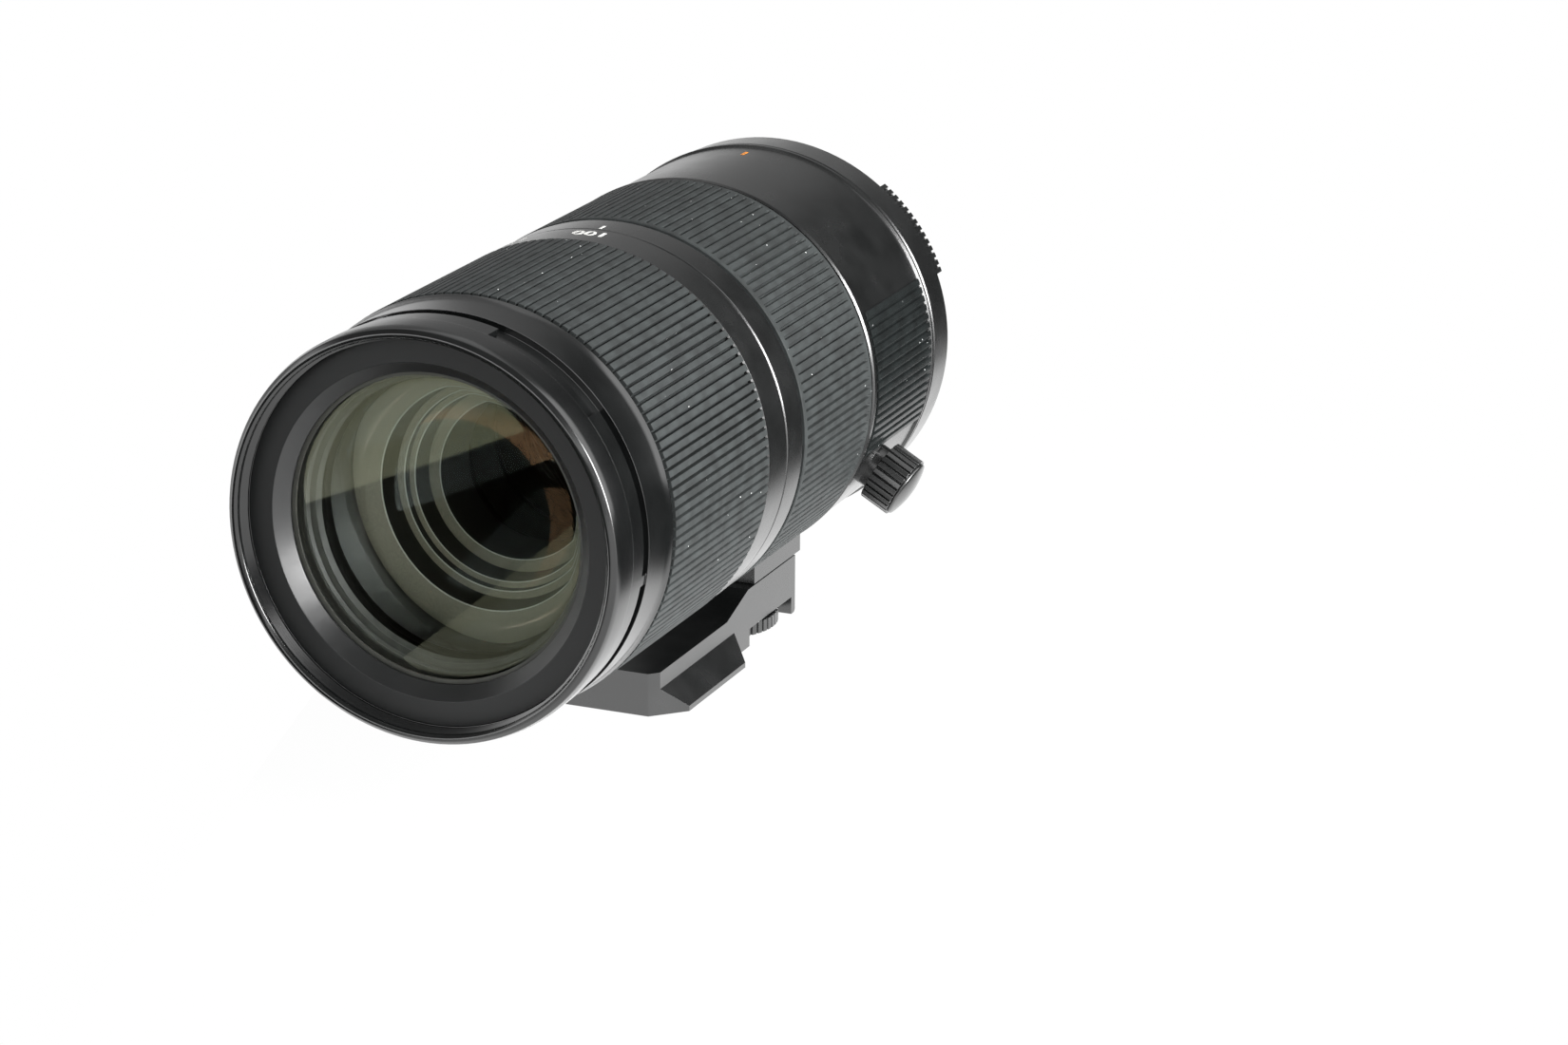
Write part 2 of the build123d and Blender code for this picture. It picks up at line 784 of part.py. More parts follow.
def tripod_foot():
    slope = dovetail_half - arm_half
    lip = table + dovetail_lip
    half = [(dovetail_half, table), (dovetail_half, lip), (arm_half, lip + slope), (arm_half, arm_joint)]
    mirrored = [(-x, height) for x, height in reversed(half)]
    section = make_face(Polyline(*half, *mirrored, close=True))
    bar = extrude(facing(foot_rear) * section, amount=foot_rear - foot_front)
    nose = dovetail_half - foot_nose_half
    side = [(foot_nose_half, foot_front), (dovetail_half, foot_front + nose),
            (dovetail_half, dovetail_rear), (arm_half, dovetail_rear + slope), (arm_half, foot_rear)]
    other = [(-x, station) for x, station in reversed(side)]
    plan = make_face(Polyline(*[(x, station - length) for x, station in side + other], close=True))
    outline = extrude(Pos(0, 0, table) * plan, amount=arm_joint - table)
    foot = bar & outline & foot_side()
    holes = [(small_thread_r, small_thread_station, thread_depth),
             (large_thread_r, large_thread_station, thread_depth),
             (wheel_shank_r + bolt_gap, wheel_station, arm_joint - table + overrun),
             (wheel_r + wheel_room, wheel_station, recess_depth)]
    for radius, station, depth in holes:
        foot -= upright(radius, station, table - overrun, depth + overrun)
    return foot


def knurled(radius, tooth, teeth):
    """Drawing of a finely toothed disc."""
    corners = []
    for angle in spread(teeth):
        step = 360 / teeth
        corners += [polar(radius - tooth, angle - step * knurl_foot_share / 2),
                    polar(radius, angle - step * knurl_top_share / 2),
                    polar(radius, angle + step * knurl_top_share / 2),
                    polar(radius - tooth, angle + step * knurl_foot_share / 2)]
    return make_face(Polyline(*corners, close=True))


def thumb_wheel():
    disc = extrude(knurled(wheel_r, wheel_tooth, wheel_teeth), amount=wheel_top - wheel_bottom)
    wheel = Pos(0, wheel_station - length, wheel_bottom) * disc
    return wheel + upright(wheel_shank_r, wheel_station, wheel_bottom, wheel_shank_top - wheel_bottom)


def on_knob(part):
    return Rot(0, knob_angle, 0) * Pos(0, knob_station - length, 0) * part


def lock_knob():
    drum = extrude(knurled(knob_r, knob_tooth, knob_teeth), amount=knob_end - knob_base)
    foot = pad_top + face_gap
    shank = Cylinder(knob_shank_r, knob_end - foot, align=(Align.CENTER, Align.CENTER, Align.MIN))
    return on_knob(Pos(0, 0, knob_base) * drum + Pos(0, 0, foot) * shank)


def knob_cap():
    rim = knob_r - knob_tooth
    base = knob_end + knob_cap_edge
    top = base + knob_dome
    outline = [Line((0, knob_end), (rim, knob_end)), Line((rim, knob_end), (rim, base)),
               bow(rim, base, knob_dome), Line((0, top), (0, knob_end))]
    return on_knob(Rot(90, 0, 0) * revolve(make_face(outline), Axis.Y))


def clamp_pad():
    pad = radial_pin(pad_r, knob_station, main_r, pad_top, knob_angle)
    return pad - ring(0, pad_base, main_front, main_rear)


def rear_barrel():
    barrel = turned((main_r + seat_gap, rear_front), (rear_barrel_r - edge, rear_front),
                    (rear_barrel_r, rear_front + edge), (rear_band_r, rear_band_rear),
                    (rear_band_r - edge, rear_band_rear + edge), (rear_taper_r, rear_taper_end),
                    (rear_taper_r, rear_face), (rear_wall_bore, rear_face),
                    (rear_wall_bore, rear_wall_front), (rear_inner_r, rear_wall_front),
                    (main_r - edge, rear_bore_rear + edge), (main_r + seat_gap, rear_bore_rear))
    barrel += rib_pad(rear_band_r - rear_grip_root, rear_band_r - rear_grip_height, rear_band_r,
                      rear_grip_ribs, rear_grip_pitch, rear_grip_start, rear_band_rear - edge,
                      rear_band_rear + rear_grip_length)
    hole_front = length - mount_screw_depth
    for angle in mount_screw_angles():
        barrel -= axial_pin(mount_shank_r + bolt_gap, mount_screw_circle, angle, hole_front - seat_gap,
                            rear_face + overrun)
    return barrel


def mount_screw_angles():
    """The screws stand half a pitch from the top."""
    return spread(mount_screw_count, 360 / mount_screw_count / 2)


def mount_plate():
    plate = turned((throat_r, rear_face), (flange_r, rear_face), (flange_r, length - edge / 2),
                   (flange_r - edge / 2, length), (spigot_r, length), (spigot_r, spigot_rear - edge),
                   (spigot_r - edge, spigot_rear), (throat_r, spigot_rear))
    for angle in spread(lug_count, lug_start):
        plate += sector(spigot_r - edge, lug_r, lug_front, lug_rear, angle, lug_arc)
    for angle in mount_screw_angles():
        plate -= axial_pin(mount_head_r + bolt_gap, mount_screw_circle, angle, length - mount_head_depth,
                           length + overrun)
        plate -= axial_pin(mount_shank_r + bolt_gap, mount_screw_circle, angle, rear_face - overrun, length)
    return plate


def mount_screws():
    screws = []
    for angle in mount_screw_angles():
        rear = length - seat_gap
        head = axial_pin(mount_head_r, mount_screw_circle, angle, length - mount_head_depth, rear)
        shank = axial_pin(mount_shank_r, mount_screw_circle, angle, length - mount_screw_depth, rear)
        screws.append(head + shank)
    return Compound([screw.solid() for screw in screws])


def mount_gasket():
    return ring(flange_r + seat_gap, gasket_r, gasket_front, gasket_rear)


def rear_baffle():
    disc = ring(0, throat_r - seat_gap, baffle_front, baffle_rear)
    depth = baffle_rear - baffle_front + 2 * overrun
    window = Box(window_width, depth, window_height)
    return disc - Pos(0, (baffle_front + baffle_rear) / 2 - length, 0) * window


def contact_block():
    body = sector(contact_r, throat_r - seat_gap, baffle_rear, contact_rear, -contact_angle / 2,
                  contact_angle)
    return body - contact_holes()


def contact_angles():
    return [contact_angle * ((i + 0.5) / contact_count - 0.5) for i in range(contact_count)]


def contact_holes():
    holes = []
    circle = (contact_r + throat_r) / 2
    for angle in contact_angles():
        hole = axial_pin(contact_pin_r + seat_gap, circle, angle, contact_front, contact_rear + overrun)
        holes.append(hole)
    return Compound([hole.solid() for hole in holes])


def contact_pins():
    pins = []
    circle = (contact_r + throat_r) / 2
    for angle in contact_angles():
        pins.append(axial_pin(contact_pin_r, circle, angle, contact_front, contact_rear + contact_pin_out))
    return Compound([pin.solid() for pin in pins])


def filter_ring():
    return turned((thread_r + thread_lead, 0), (rim_face_r, 0),
                  (rim_r - edge, rim_shoulder * rim_slope_share), (rim_r, rim_shoulder),
                  (rim_r, rim_rear - edge), (rim_r - edge, rim_rear),
                  (filter_spigot_r, rim_rear), (filter_spigot_r, filter_spigot_rear),
                  (seat_r, filter_spigot_rear), (seat_r, name_rear), (name_seat_r, name_rear),
                  (name_seat_r, name_face), (thread_r, name_face), (thread_r, thread_lead))


def front_shell():
    bore = filter_spigot_r + seat_gap
    shell = turned((bore, hood_lip_front), (hood_lip_r, hood_lip_front), (hood_lip_r, hood_lip_rear),
                   (groove_r, hood_lip_rear), (groove_r, groove_rear), (shell_r, groove_rear),
                   (shell_r, shell_flare), (shell_rear_r, shell_rear - edge), (shell_rear_r, shell_rear),
                   (bore, shell_rear))
    for angle in spread(entry_count, entry_start):
        shell -= sector(groove_r, hood_lip_r + overrun, hood_lip_front - overrun, hood_lip_rear + overrun,
                        angle, entry_arc)
    for angle in spread(entry_count, stop_start):
        front = hood_lip_rear - edge
        shell += sector(groove_r - edge, hood_lip_r, front, groove_rear + edge, angle, stop_arc)
    return shell


def name_ring():
    outer = name_seat_r - seat_gap
    return turned((bevel_inner_r, bevel_rear), (name_inner_r, name_face), (outer, name_face),
                  (outer, name_rear), (name_inner_r + edge, name_rear),
                  (bevel_inner_r + edge, bevel_back), (bevel_inner_r, bevel_back))


def front_tube():
    bore = filter_spigot_r
    tube = turned((tube_bore_r, tube_front), (bore, tube_front), (bore, tube_flange_rear),
                  (tube_r, tube_flange_rear), (tube_r, tube_rear), (tube_bore_r, tube_rear))
    width = 2 * (variator_roller_r + roller_gap)
    front = variator_station - width / 2 - stop_room
    rear = variator_station + zoom_travel - variator_travel + width / 2 + stop_room
    for angle in spread(follower_count, variator_angle):
        tube -= block(width, front, rear, tube_bore_r - overrun, tube_r + overrun, angle)
    return tube


def cam_followers():
    rollers = []
    for angle in spread(follower_count, follower_angle):
        roller = radial_pin(follower_r, follower_station, tube_bore_r, follower_top, angle)
        roller -= ring(0, tube_r + seat_gap, cam_front, tube_rear)
        rollers.append(roller)
    return Compound([roller.solid() for roller in rollers])


def front_cell():
    ledge = retainer_front + retainer_thickness
    fit = front_glass_r + seat_gap
    sleeve_end = tube_front - seat_gap
    inside = tube_bore_r - seat_gap
    socket = doublet_r + seat_gap
    return turned((fit, ledge), (retainer_r + seat_gap, ledge), (retainer_r + seat_gap, retainer_front),
                  (cell_r, retainer_front), (cell_r, sleeve_end), (inside, sleeve_end), (inside, cell_rear),
                  (socket, cell_rear), (socket, doublet_front), (cell_throat_r, doublet_front),
                  (cell_throat_r, cell_ledge), (cell_step_r, cell_ledge), (cell_step_r, front_glass_seat),
                  (fit, front_glass_seat))


def front_retainer():
    back = retainer_front + retainer_thickness
    return turned((retainer_bore_r, retainer_front), (retainer_r, retainer_front), (retainer_r, back),
                  (front_glass_r, back), (retainer_bore_r, back - retainer_relief))


def front_glass():
    return glass(front_glass_r, front_glass_edge, front_glass_thickness, front_glass_sag,
                 front_glass_back_sag)


def doublet_front_glass():
    return glass(doublet_r, doublet_front, doublet_crown, doublet_front_sag, doublet_joint_sag)


def doublet_rear_glass():
    front = doublet_front + doublet_crown + cement
    return glass(doublet_r, front, doublet_flint, doublet_joint_sag, doublet_rear_sag)


def doublet_retainer():
    front = doublet_front + doublet_crown + doublet_flint + cement
    return ring(doublet_ring_bore, doublet_r, front, front + doublet_ring_length)


def variator_cell():
    front = variator_station - variator_half
    rear = variator_station + variator_half
    step_front = front + variator_thickness
    step_rear = rear - variator_thickness
    fit = variator_glass_r + seat_gap
    cell = turned((fit, front), (variator_r, front), (variator_r, rear), (fit, rear), (fit, step_rear),
                  (variator_bore, step_rear), (variator_bore, step_front), (fit, step_front))
    for angle in spread(follower_count, variator_angle):
        cell -= radial_pin(variator_roller_r + seat_gap, variator_station, variator_roller_foot - seat_gap,
                           variator_r + overrun, angle)
    return cell


def variator_front_glass():
    return glass(variator_glass_r, variator_station - variator_half, variator_thickness, -variator_sag,
                 variator_sag / 2)


def variator_rear_glass():
    front = variator_station + variator_half - variator_thickness
    return glass(variator_glass_r, front, variator_thickness, variator_sag / 2, -variator_sag / 2)


def variator_followers():
    rollers = []
    top = cam_r - slide_gap
    for angle in spread(follower_count, variator_angle):
        rollers.append(radial_pin(variator_roller_r, variator_station, variator_roller_foot, top, angle))
    return Compound([roller.solid() for roller in rollers])


def rod_angles():
    return (rod_angle, -rod_angle)


def inner_frame():
    flange_front = main_rear + seat_gap
    outer = main_r - seat_gap
    frame = turned((frame_bore, frame_front), (frame_r, frame_front), (frame_r, flange_front),
                   (outer, flange_front), (outer, frame_flange_rear),
                   (frame_bore, frame_flange_rear))
    for front in (front_web, rear_web):
        web = ring(web_bore, frame_bore + overrun, front, front + web_length)
        for angle in rod_angles():
            rear = front + web_length + overrun
            web -= axial_pin(rod_r + seat_gap, rod_circle, angle, front - overrun, rear)
        frame += web
    return frame


def iris_angles():
    return spread(blade_count)


def iris_base():
    base = ring(iris_bore, frame_bore - seat_gap, iris_front, iris_base_rear)
    hole_front = iris_front - overrun
    hole_rear = iris_base_rear + overrun
    for angle in iris_angles():
        base -= axial_pin(pin_r + pin_gap, pin_circle, angle, hole_front, hole_rear)
    return base


def blade_outline():
    """Crescent of one blade at the top, with a wide lobe that holds its two pins."""
    inner_start = polar(blade_inner_r, blade_lobe_start)
    inner_end = polar(blade_inner_r, blade_end)
    middle = (blade_lobe_start + blade_end) / 2
    lobe_middle = (blade_lobe_start + blade_lobe_end) / 2
    band_middle = (blade_lobe_end + blade_end) / 2
    lobe_start = polar(blade_lobe_r, blade_lobe_start)
    lobe_end = polar(blade_lobe_r, blade_lobe_end)
    band_start = polar(blade_outer_r, blade_lobe_end)
    band_end = polar(blade_outer_r, blade_end)
    return make_face([
        Line(inner_start, lobe_start),
        ThreePointArc(lobe_start, polar(blade_lobe_r, lobe_middle), lobe_end),
        Line(lobe_end, band_start),
        ThreePointArc(band_start, polar(blade_outer_r, band_middle), band_end),
        Line(band_end, inner_end),
        ThreePointArc(inner_end, polar(blade_inner_r, middle), inner_start),
    ])


def iris_blade(i):
    """One blade in its own layer, with its pivot pin forward and its drive pin to the rear."""
    angle = iris_angles()[i]
    front = blade_front + (blade_count - 1 - i) * blade_pitch
    blade = extrude(facing(front + blade_thickness) * blade_outline(), amount=blade_thickness)
    blade = Rot(0, angle, 0) * blade
    blade += axial_pin(pin_r, pin_circle, angle, iris_front, front + blade_thickness)
    drive_rear = drive_front + drive_ring_length
    blade += axial_pin(pin_r, pin_circle, angle + drive_pin_angle, front, drive_rear)
    return blade


def drive_pin_place(share):
    """Where a drive pin stands on the turning drive ring, at a share of the iris's travel."""
    pivot = Vector(*polar(pin_circle, 0), 0)
    pin = Vector(*polar(pin_circle, drive_pin_angle), 0) - pivot
    swung = pin.rotate(Axis.Z, -blade_turn * share) + pivot
    return swung.rotate(Axis.Z, iris_turn * share)


def iris_drive_ring():
    plate = ring(drive_ring_bore, drive_ring_r, drive_front, drive_front + drive_ring_length)
    path = ThreePointArc(drive_pin_place(0), drive_pin_place(0.5), drive_pin_place(1))
    slot = SlotArc(path, 2 * drive_slot_half)
    rear = drive_front + drive_ring_length + overrun
    cutter = extrude(facing(rear) * slot, amount=drive_ring_length + 2 * overrun)
    for angle in iris_angles():
        plate -= Rot(0, angle, 0) * cutter
    return plate


def relay_cell():
    fit = relay_glass_r + seat_gap
    seat = relay_front + relay_recess
    step = seat + relay_thickness
    outer = frame_bore - seat_gap
    rear = relay_front + relay_length
    return turned((relay_lip_r, relay_front), (outer, relay_front), (outer, rear), (relay_bore, rear),
                  (relay_bore, step), (fit, step), (fit, seat), (relay_lip_r, seat))


def relay_glass():
    return glass(relay_glass_r, relay_front + relay_recess, relay_thickness, relay_sag, relay_sag / 2)


def focus_cell():
    rear = focus_cell_front + focus_cell_length
    step = focus_cell_front + focus_glass_thickness
    fit = focus_glass_r + seat_gap
    cell = turned((fit, focus_cell_front), (focus_cell_r, focus_cell_front), (focus_cell_r, rear),
                  (focus_cell_bore, rear), (focus_cell_bore, step), (fit, step))
    for angle in rod_angles():
        arm = block(2 * ear_r, focus_cell_front, rear, focus_cell_r - edge, rod_circle, angle)
        cell += arm + axial_pin(ear_r, rod_circle, angle, focus_cell_front, rear)
        cell -= axial_pin(rod_r + rod_gap, rod_circle, angle, focus_cell_front - overrun, rear + overrun)
    cell -= block(coil_width + 2 * seat_gap, focus_cell_front - overrun, rear + overrun, coil_inner,
                  coil_outer, coil_angle)
    return cell


def focus_glass():
    return glass(focus_glass_r, focus_cell_front, focus_glass_thickness, focus_glass_sag,
                 focus_glass_sag / 2)


def focus_coil():
    rear = focus_cell_front + focus_cell_length
    return block(coil_width, focus_cell_front, rear, coil_inner, coil_outer, coil_angle)


def focus_magnet():
    front = front_web + web_length + magnet_rest
    return block(magnet_width, front, rear_web - magnet_rest, magnet_inner, magnet_outer, coil_angle)


def focus_rods():
    rods = [axial_pin(rod_r, rod_circle, angle, front_web, rear_web + web_length) for angle in rod_angles()]
    return Compound([rod.solid() for rod in rods])


def rear_cell():
    outer = frame_bore - seat_gap
    inner_fit = rear_glass_r + seat_gap
    inner_step = rear_inner_station + rear_inner_thickness
    return turned((inner_fit, rear_cell_front), (outer, rear_cell_front), (outer, frame_flange_rear),
                  (rear_cell_tube_r, frame_flange_rear), (rear_cell_tube_r, rear_cell_rear),
                  (inner_fit, rear_cell_rear), (inner_fit, rear_glass_station),
                  (rear_cell_bore, rear_glass_station), (rear_cell_bore, inner_step),
                  (inner_fit, inner_step))


def rear_inner_glass():
    return glass(rear_glass_r, rear_inner_station, rear_inner_thickness, rear_glass_sag,
                 rear_glass_sag / 2)


def rear_glass():
    return glass(rear_glass_r, rear_glass_station, rear_glass_thickness, rear_glass_sag / 2,
                 -rear_glass_sag)


def circuit_board():
    board = ring(board_bore, board_r, board_front, board_rear)
    for angle in spread(chip_count):
        board += block(chip_width, board_rear, board_rear + chip_height, chip_circle - chip_depth / 2,
                       chip_circle + chip_depth / 2, angle)
    return board


def save(name, shape):
    export_step(shape, "parts/" + name + ".step")


def main():
    os.makedirs("parts", exist_ok=True)
    pieces = [
        main_barrel, barrel_bushing, index_ring, zoom_sleeve, zoom_grip, cam_barrel, drive_key,
        focus_sleeve, focus_grip, tripod_collar, rib_patches, clamp_pad, lock_knob, knob_cap,
        tripod_foot, thumb_wheel, rear_barrel, mount_plate, mount_screws, mount_gasket, rear_baffle,
        contact_block, contact_pins, filter_ring, front_shell, name_ring, front_tube, cam_followers,
        front_cell, front_retainer, front_glass, doublet_front_glass, doublet_rear_glass,
        doublet_retainer, variator_cell, variator_front_glass, variator_rear_glass,
        variator_followers, inner_frame, iris_base, iris_drive_ring, relay_cell, relay_glass,
        focus_cell, focus_glass, focus_coil, focus_magnet, focus_rods, rear_cell, rear_inner_glass,
        rear_glass, circuit_board,
    ]
    for make in pieces:
        save(make.__name__, make())
    for i in range(blade_count):
        save("iris_blade_" + str(i + 1), iris_blade(i))


main()
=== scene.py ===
import bmesh
import bpy
from math import copysign, cos, pi, radians, sin, sqrt
from mathutils import Matrix, Vector

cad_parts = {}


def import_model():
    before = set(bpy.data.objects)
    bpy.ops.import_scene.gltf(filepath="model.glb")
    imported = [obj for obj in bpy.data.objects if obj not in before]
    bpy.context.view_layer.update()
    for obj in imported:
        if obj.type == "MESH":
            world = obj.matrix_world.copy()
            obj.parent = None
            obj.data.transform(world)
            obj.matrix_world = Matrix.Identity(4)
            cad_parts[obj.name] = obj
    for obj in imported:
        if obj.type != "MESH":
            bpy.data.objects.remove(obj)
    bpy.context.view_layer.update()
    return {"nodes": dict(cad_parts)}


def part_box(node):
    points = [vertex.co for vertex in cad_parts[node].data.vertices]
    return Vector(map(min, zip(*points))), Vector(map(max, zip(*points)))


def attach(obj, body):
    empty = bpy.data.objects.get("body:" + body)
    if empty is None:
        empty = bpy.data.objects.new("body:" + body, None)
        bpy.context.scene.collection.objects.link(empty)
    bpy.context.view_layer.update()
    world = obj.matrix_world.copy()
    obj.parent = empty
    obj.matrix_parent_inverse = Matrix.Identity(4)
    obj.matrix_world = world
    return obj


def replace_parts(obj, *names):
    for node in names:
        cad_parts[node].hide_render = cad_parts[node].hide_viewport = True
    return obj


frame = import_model()

MM = 0.001
nodes = frame["nodes"]
front_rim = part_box("filter_ring")[0].y
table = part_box("tripod_foot")[0].z


def station(mm):
    """Place along the axis of a point this many millimetres behind the front rim."""
    return front_rim + mm * MM


def reach(node):
    """Radius of a ring, in millimetres."""
    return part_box(node)[1].x / MM


def ends(node):
    """Stations of a ring's two ends, in millimetres."""
    low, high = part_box(node)
    return (low.y - front_rim) / MM, (high.y - front_rim) / MM


# Finishes


def colour(code):
    """Linear colour of an sRGB hex code."""
    channels = [int(code[i:i + 2], 16) / 255 for i in (1, 3, 5)]
    return [c / 12.92 if c <= 0.04045 else ((c + 0.055) / 1.055) ** 2.4 for c in channels] + [1]


def add(tree, kind, values=None, links=None, **settings):
    """Adds a node with its settings, the values of its inputs and the outputs that feed them."""
    made = tree.nodes.new("ShaderNode" + kind)
    for name, value in settings.items():
        setattr(made, name, value)
    for name, value in (values or {}).items():
        made.inputs[name].default_value = value
    for name, source in (links or {}).items():
        tree.links.new(source, made.inputs[name])
    return made


def finish(name, **surface):
    """Empty material with one Principled shader, whose inputs are named with underscores for spaces."""
    material = bpy.data.materials.new(name)
    material.use_nodes = True
    tree = material.node_tree
    tree.nodes.clear()
    values = {key.replace("_", " "): value for key, value in surface.items()}
    shader = add(tree, "BsdfPrincipled", values)
    add(tree, "OutputMaterial", links={"Surface": shader.outputs["BSDF"]})
    place = add(tree, "TexCoord").outputs["Object"]
    return material, tree, shader, place


def grain(tree, place, size_mm, detail=2.0):
    """Noise whose blobs are about this many millimetres across."""
    values = {"Scale": 1 / (size_mm * MM), "Detail": detail}
    return add(tree, "TexNoise", values, {"Vector": place}).outputs["Fac"]


def along_axis(tree, place):
    """Coordinates drawn out round the axis, for the marks that turning leaves."""
    return add(tree, "Mapping", {"Scale": (0.02, 1, 0.02)}, {"Vector": place}).outputs["Vector"]


def dent(tree, shader, height, depth_mm):
    """Raises a surface by a pattern of this depth."""
    bump = add(tree, "Bump", {"Distance": depth_mm * MM}, {"Height": height})
    tree.links.new(bump.outputs["Normal"], shader.inputs["Normal"])


def ramp(tree, source, stops):
    """Colour ramp over places and hex colours."""
    made = add(tree, "ValToRGB", links={"Fac": source})
    points = made.color_ramp.elements
    while len(points) < len(stops):
        points.new(0.5)
    for point, (where, code) in zip(points, stops):
        point.position = where
        point.color = colour(code)
    return made.outputs["Color"]


def tinted(tree, shader, source, stops):
    """Base colour that goes between hex colours with a pattern."""
    tree.links.new(ramp(tree, source, stops), shader.inputs["Base Color"])


def spread(tree, source, low, high):
    """Brings a pattern that lies about a half to a range."""
    values = {"From Min": 0.3, "From Max": 0.7, "To Min": low, "To Max": high}
    return add(tree, "MapRange", values, {"Value": source}).outputs["Result"]


def dust(tree, place, spacing_mm, size_share, seed):
    """Mask of rare small specks: few of the cells hold one."""
    shifted = add(tree, "Mapping", {"Location": (seed, seed, seed)}, {"Vector": place})
    cells = add(tree, "TexVoronoi", {"Scale": 1 / (spacing_mm * MM)}, {"Vector": shifted.outputs["Vector"]})
    speck = add(tree, "Math", {1: size_share}, {0: cells.outputs["Distance"]}, operation="LESS_THAN")
    parted = add(tree, "SeparateColor", links={"Color": cells.outputs["Color"]})
    chosen = add(tree, "Math", {1: 0.18}, {0: parted.outputs["Red"]}, operation="LESS_THAN")
    both = add(tree, "Math", links={0: speck.outputs[0], 1: chosen.outputs[0]}, operation="MULTIPLY")
    return both.outputs[0]


def dusted(tree, shader, tone, specks, code):
    """Base colour with the specks of dust laid over it."""
    mixed = add(tree, "Mix", {"B": colour(code)}, {"Factor": specks, "A": tone}, data_type="RGBA")
    tree.links.new(mixed.outputs[2], shader.inputs["Base Color"])


def satin_painted_aluminium():
    """Satin black paint on turned aluminium: dark, with a broad soft sheen and a very fine orange peel."""
    material, tree, shader, place = finish("satin_painted_aluminium", IOR=1.8)
    blotch = grain(tree, place, 9.0)
    tone = ramp(tree, blotch, [(0.35, "#0b0c0c"), (0.65, "#0f1010")])
    dusted(tree, shader, tone, dust(tree, place, 4.2, 0.025, 0.3), "#a9acac")
    tree.links.new(spread(tree, blotch, 0.23, 0.28), shader.inputs["Roughness"])
    dent(tree, shader, grain(tree, place, 0.3), 0.0025)
    return material


def hard_anodised_rim():
    """Black hard anodising on a turned rim: darker and glossier than the paint, with fine turning marks.

    The marks are drawn 0.18 mm apart, coarser than real ones, so that they show.
    """
    material, tree, shader, place = finish("hard_anodised_rim", Roughness=0.2, IOR=1.6)
    tinted(tree, shader, grain(tree, place, 6.0), [(0.35, "#0a0b0b"), (0.65, "#0f1010")])
    dent(tree, shader, grain(tree, along_axis(tree, place), 0.18), 0.003)
    return material


def bead_blasted_aluminium():
    """Fine bead-blasted and anodised name ring: matt, with a grain that glints where light grazes it.

    The grain is drawn 0.12 mm across, coarser than the real grit's marks, so that it shows.
    """
    material, tree, shader, place = finish("bead_blasted_aluminium", IOR=1.38)
    fine = grain(tree, place, 0.12, 3.0)
    tinted(tree, shader, fine, [(0.38, "#101111"), (0.7, "#1c1d1d")])
    tree.links.new(spread(tree, fine, 0.38, 0.52), shader.inputs["Roughness"])
    dent(tree, shader, fine, 0.012)
    return material


def smooth_bevel():
    """Anodised bevel of the name ring: turned smooth, so that it gives back a soft band of light."""
    material, tree, shader, place = finish("smooth_anodised_bevel", Roughness=0.34, IOR=1.6)
    tinted(tree, shader, grain(tree, place, 5.0), [(0.35, "#111212"), (0.65, "#161717")])
    dent(tree, shader, grain(tree, along_axis(tree, place), 0.2), 0.003)
    return material


def moulded_rubber(name, dark, light, sheen):
    """Moulded black rubber of the grips: soft grey-green sheen, fine grain and caught white dust."""
    material, tree, shader, place = finish(name, IOR=1.2)
    tone = ramp(tree, grain(tree, place, 4.0), [(0.35, dark), (0.65, light)])
    dusted(tree, shader, tone, dust(tree, place, 2.3, 0.06, 0.0), "#e4e6e5")
    fine = grain(tree, place, 0.16, 3.0)
    tree.links.new(spread(tree, fine, sheen, sheen + 0.12), shader.inputs["Roughness"])
    dent(tree, shader, fine, 0.008)
    return material


def blackened_metal():
    """Matt blackened aluminium inside the lens: swallows light, so that only its edges show."""
    material, tree, shader, place = finish("blackened_metal", Roughness=0.5, IOR=1.45)
    tinted(tree, shader, grain(tree, place, 3.0), [(0.35, "#30312d"), (0.65, "#3a3b36")])
    dent(tree, shader, grain(tree, along_axis(tree, place), 0.3), 0.006)
    return material


def moulded_plastic(name, dark, light):
    """Glass-filled nylon or rubber mouldings of the inner parts: even, slightly dull."""
    material, tree, shader, place = finish(name, Roughness=0.42, IOR=1.5)
    tinted(tree, shader, grain(tree, place, 1.5), [(0.4, dark), (0.6, light)])
    dent(tree, shader, grain(tree, place, 0.3), 0.006)
    return material


def machined_metal(name, dark, light, roughness, mark_mm):
    """Turned bare metal: its reflection is drawn out by fine marks that run round the axis.

    The marks are drawn coarser than the real ones, so that they show.
    """
    material, tree, shader, place = finish(name, Metallic=1.0, Roughness=roughness)
    lines = grain(tree, along_axis(tree, place), mark_mm)
    tinted(tree, shader, lines, [(0.35, dark), (0.65, light)])
    dent(tree, shader, lines, 0.003)
    return material


def baffle_paint(name, dark, light, roughness):
    """Matt paint of the light baffles, whose tones paint in light and shade: pale grey-olive on the steps as
    painted light, dark in the bores as painted shade, near white on the slanted edges as a painted highlight.
    """
    material, tree, shader, place = finish(name, Roughness=roughness, IOR=1.45)
    tinted(tree, shader, grain(tree, place, 0.4), [(0.35, dark), (0.65, light)])
    return material


def coated_glass(name, tint):
    """Multi-coated optical glass: clear, with a coloured reflection of whatever is bright."""
    return finish(name, IOR=1.6, Roughness=0.0, Transmission_Weight=1.0, Base_Color=colour("#f4f7f4"),
                  Specular_Tint=colour(tint))[0]


def printed_ink(name, dark, light):
    """Screen-printed ink of the scales: flat, with a trace of unevenness in its cover."""
    material, tree, shader, place = finish(name, Roughness=0.4, IOR=1.5)
    tinted(tree, shader, grain(tree, place, 0.5), [(0.3, dark), (0.7, light)])
    return material


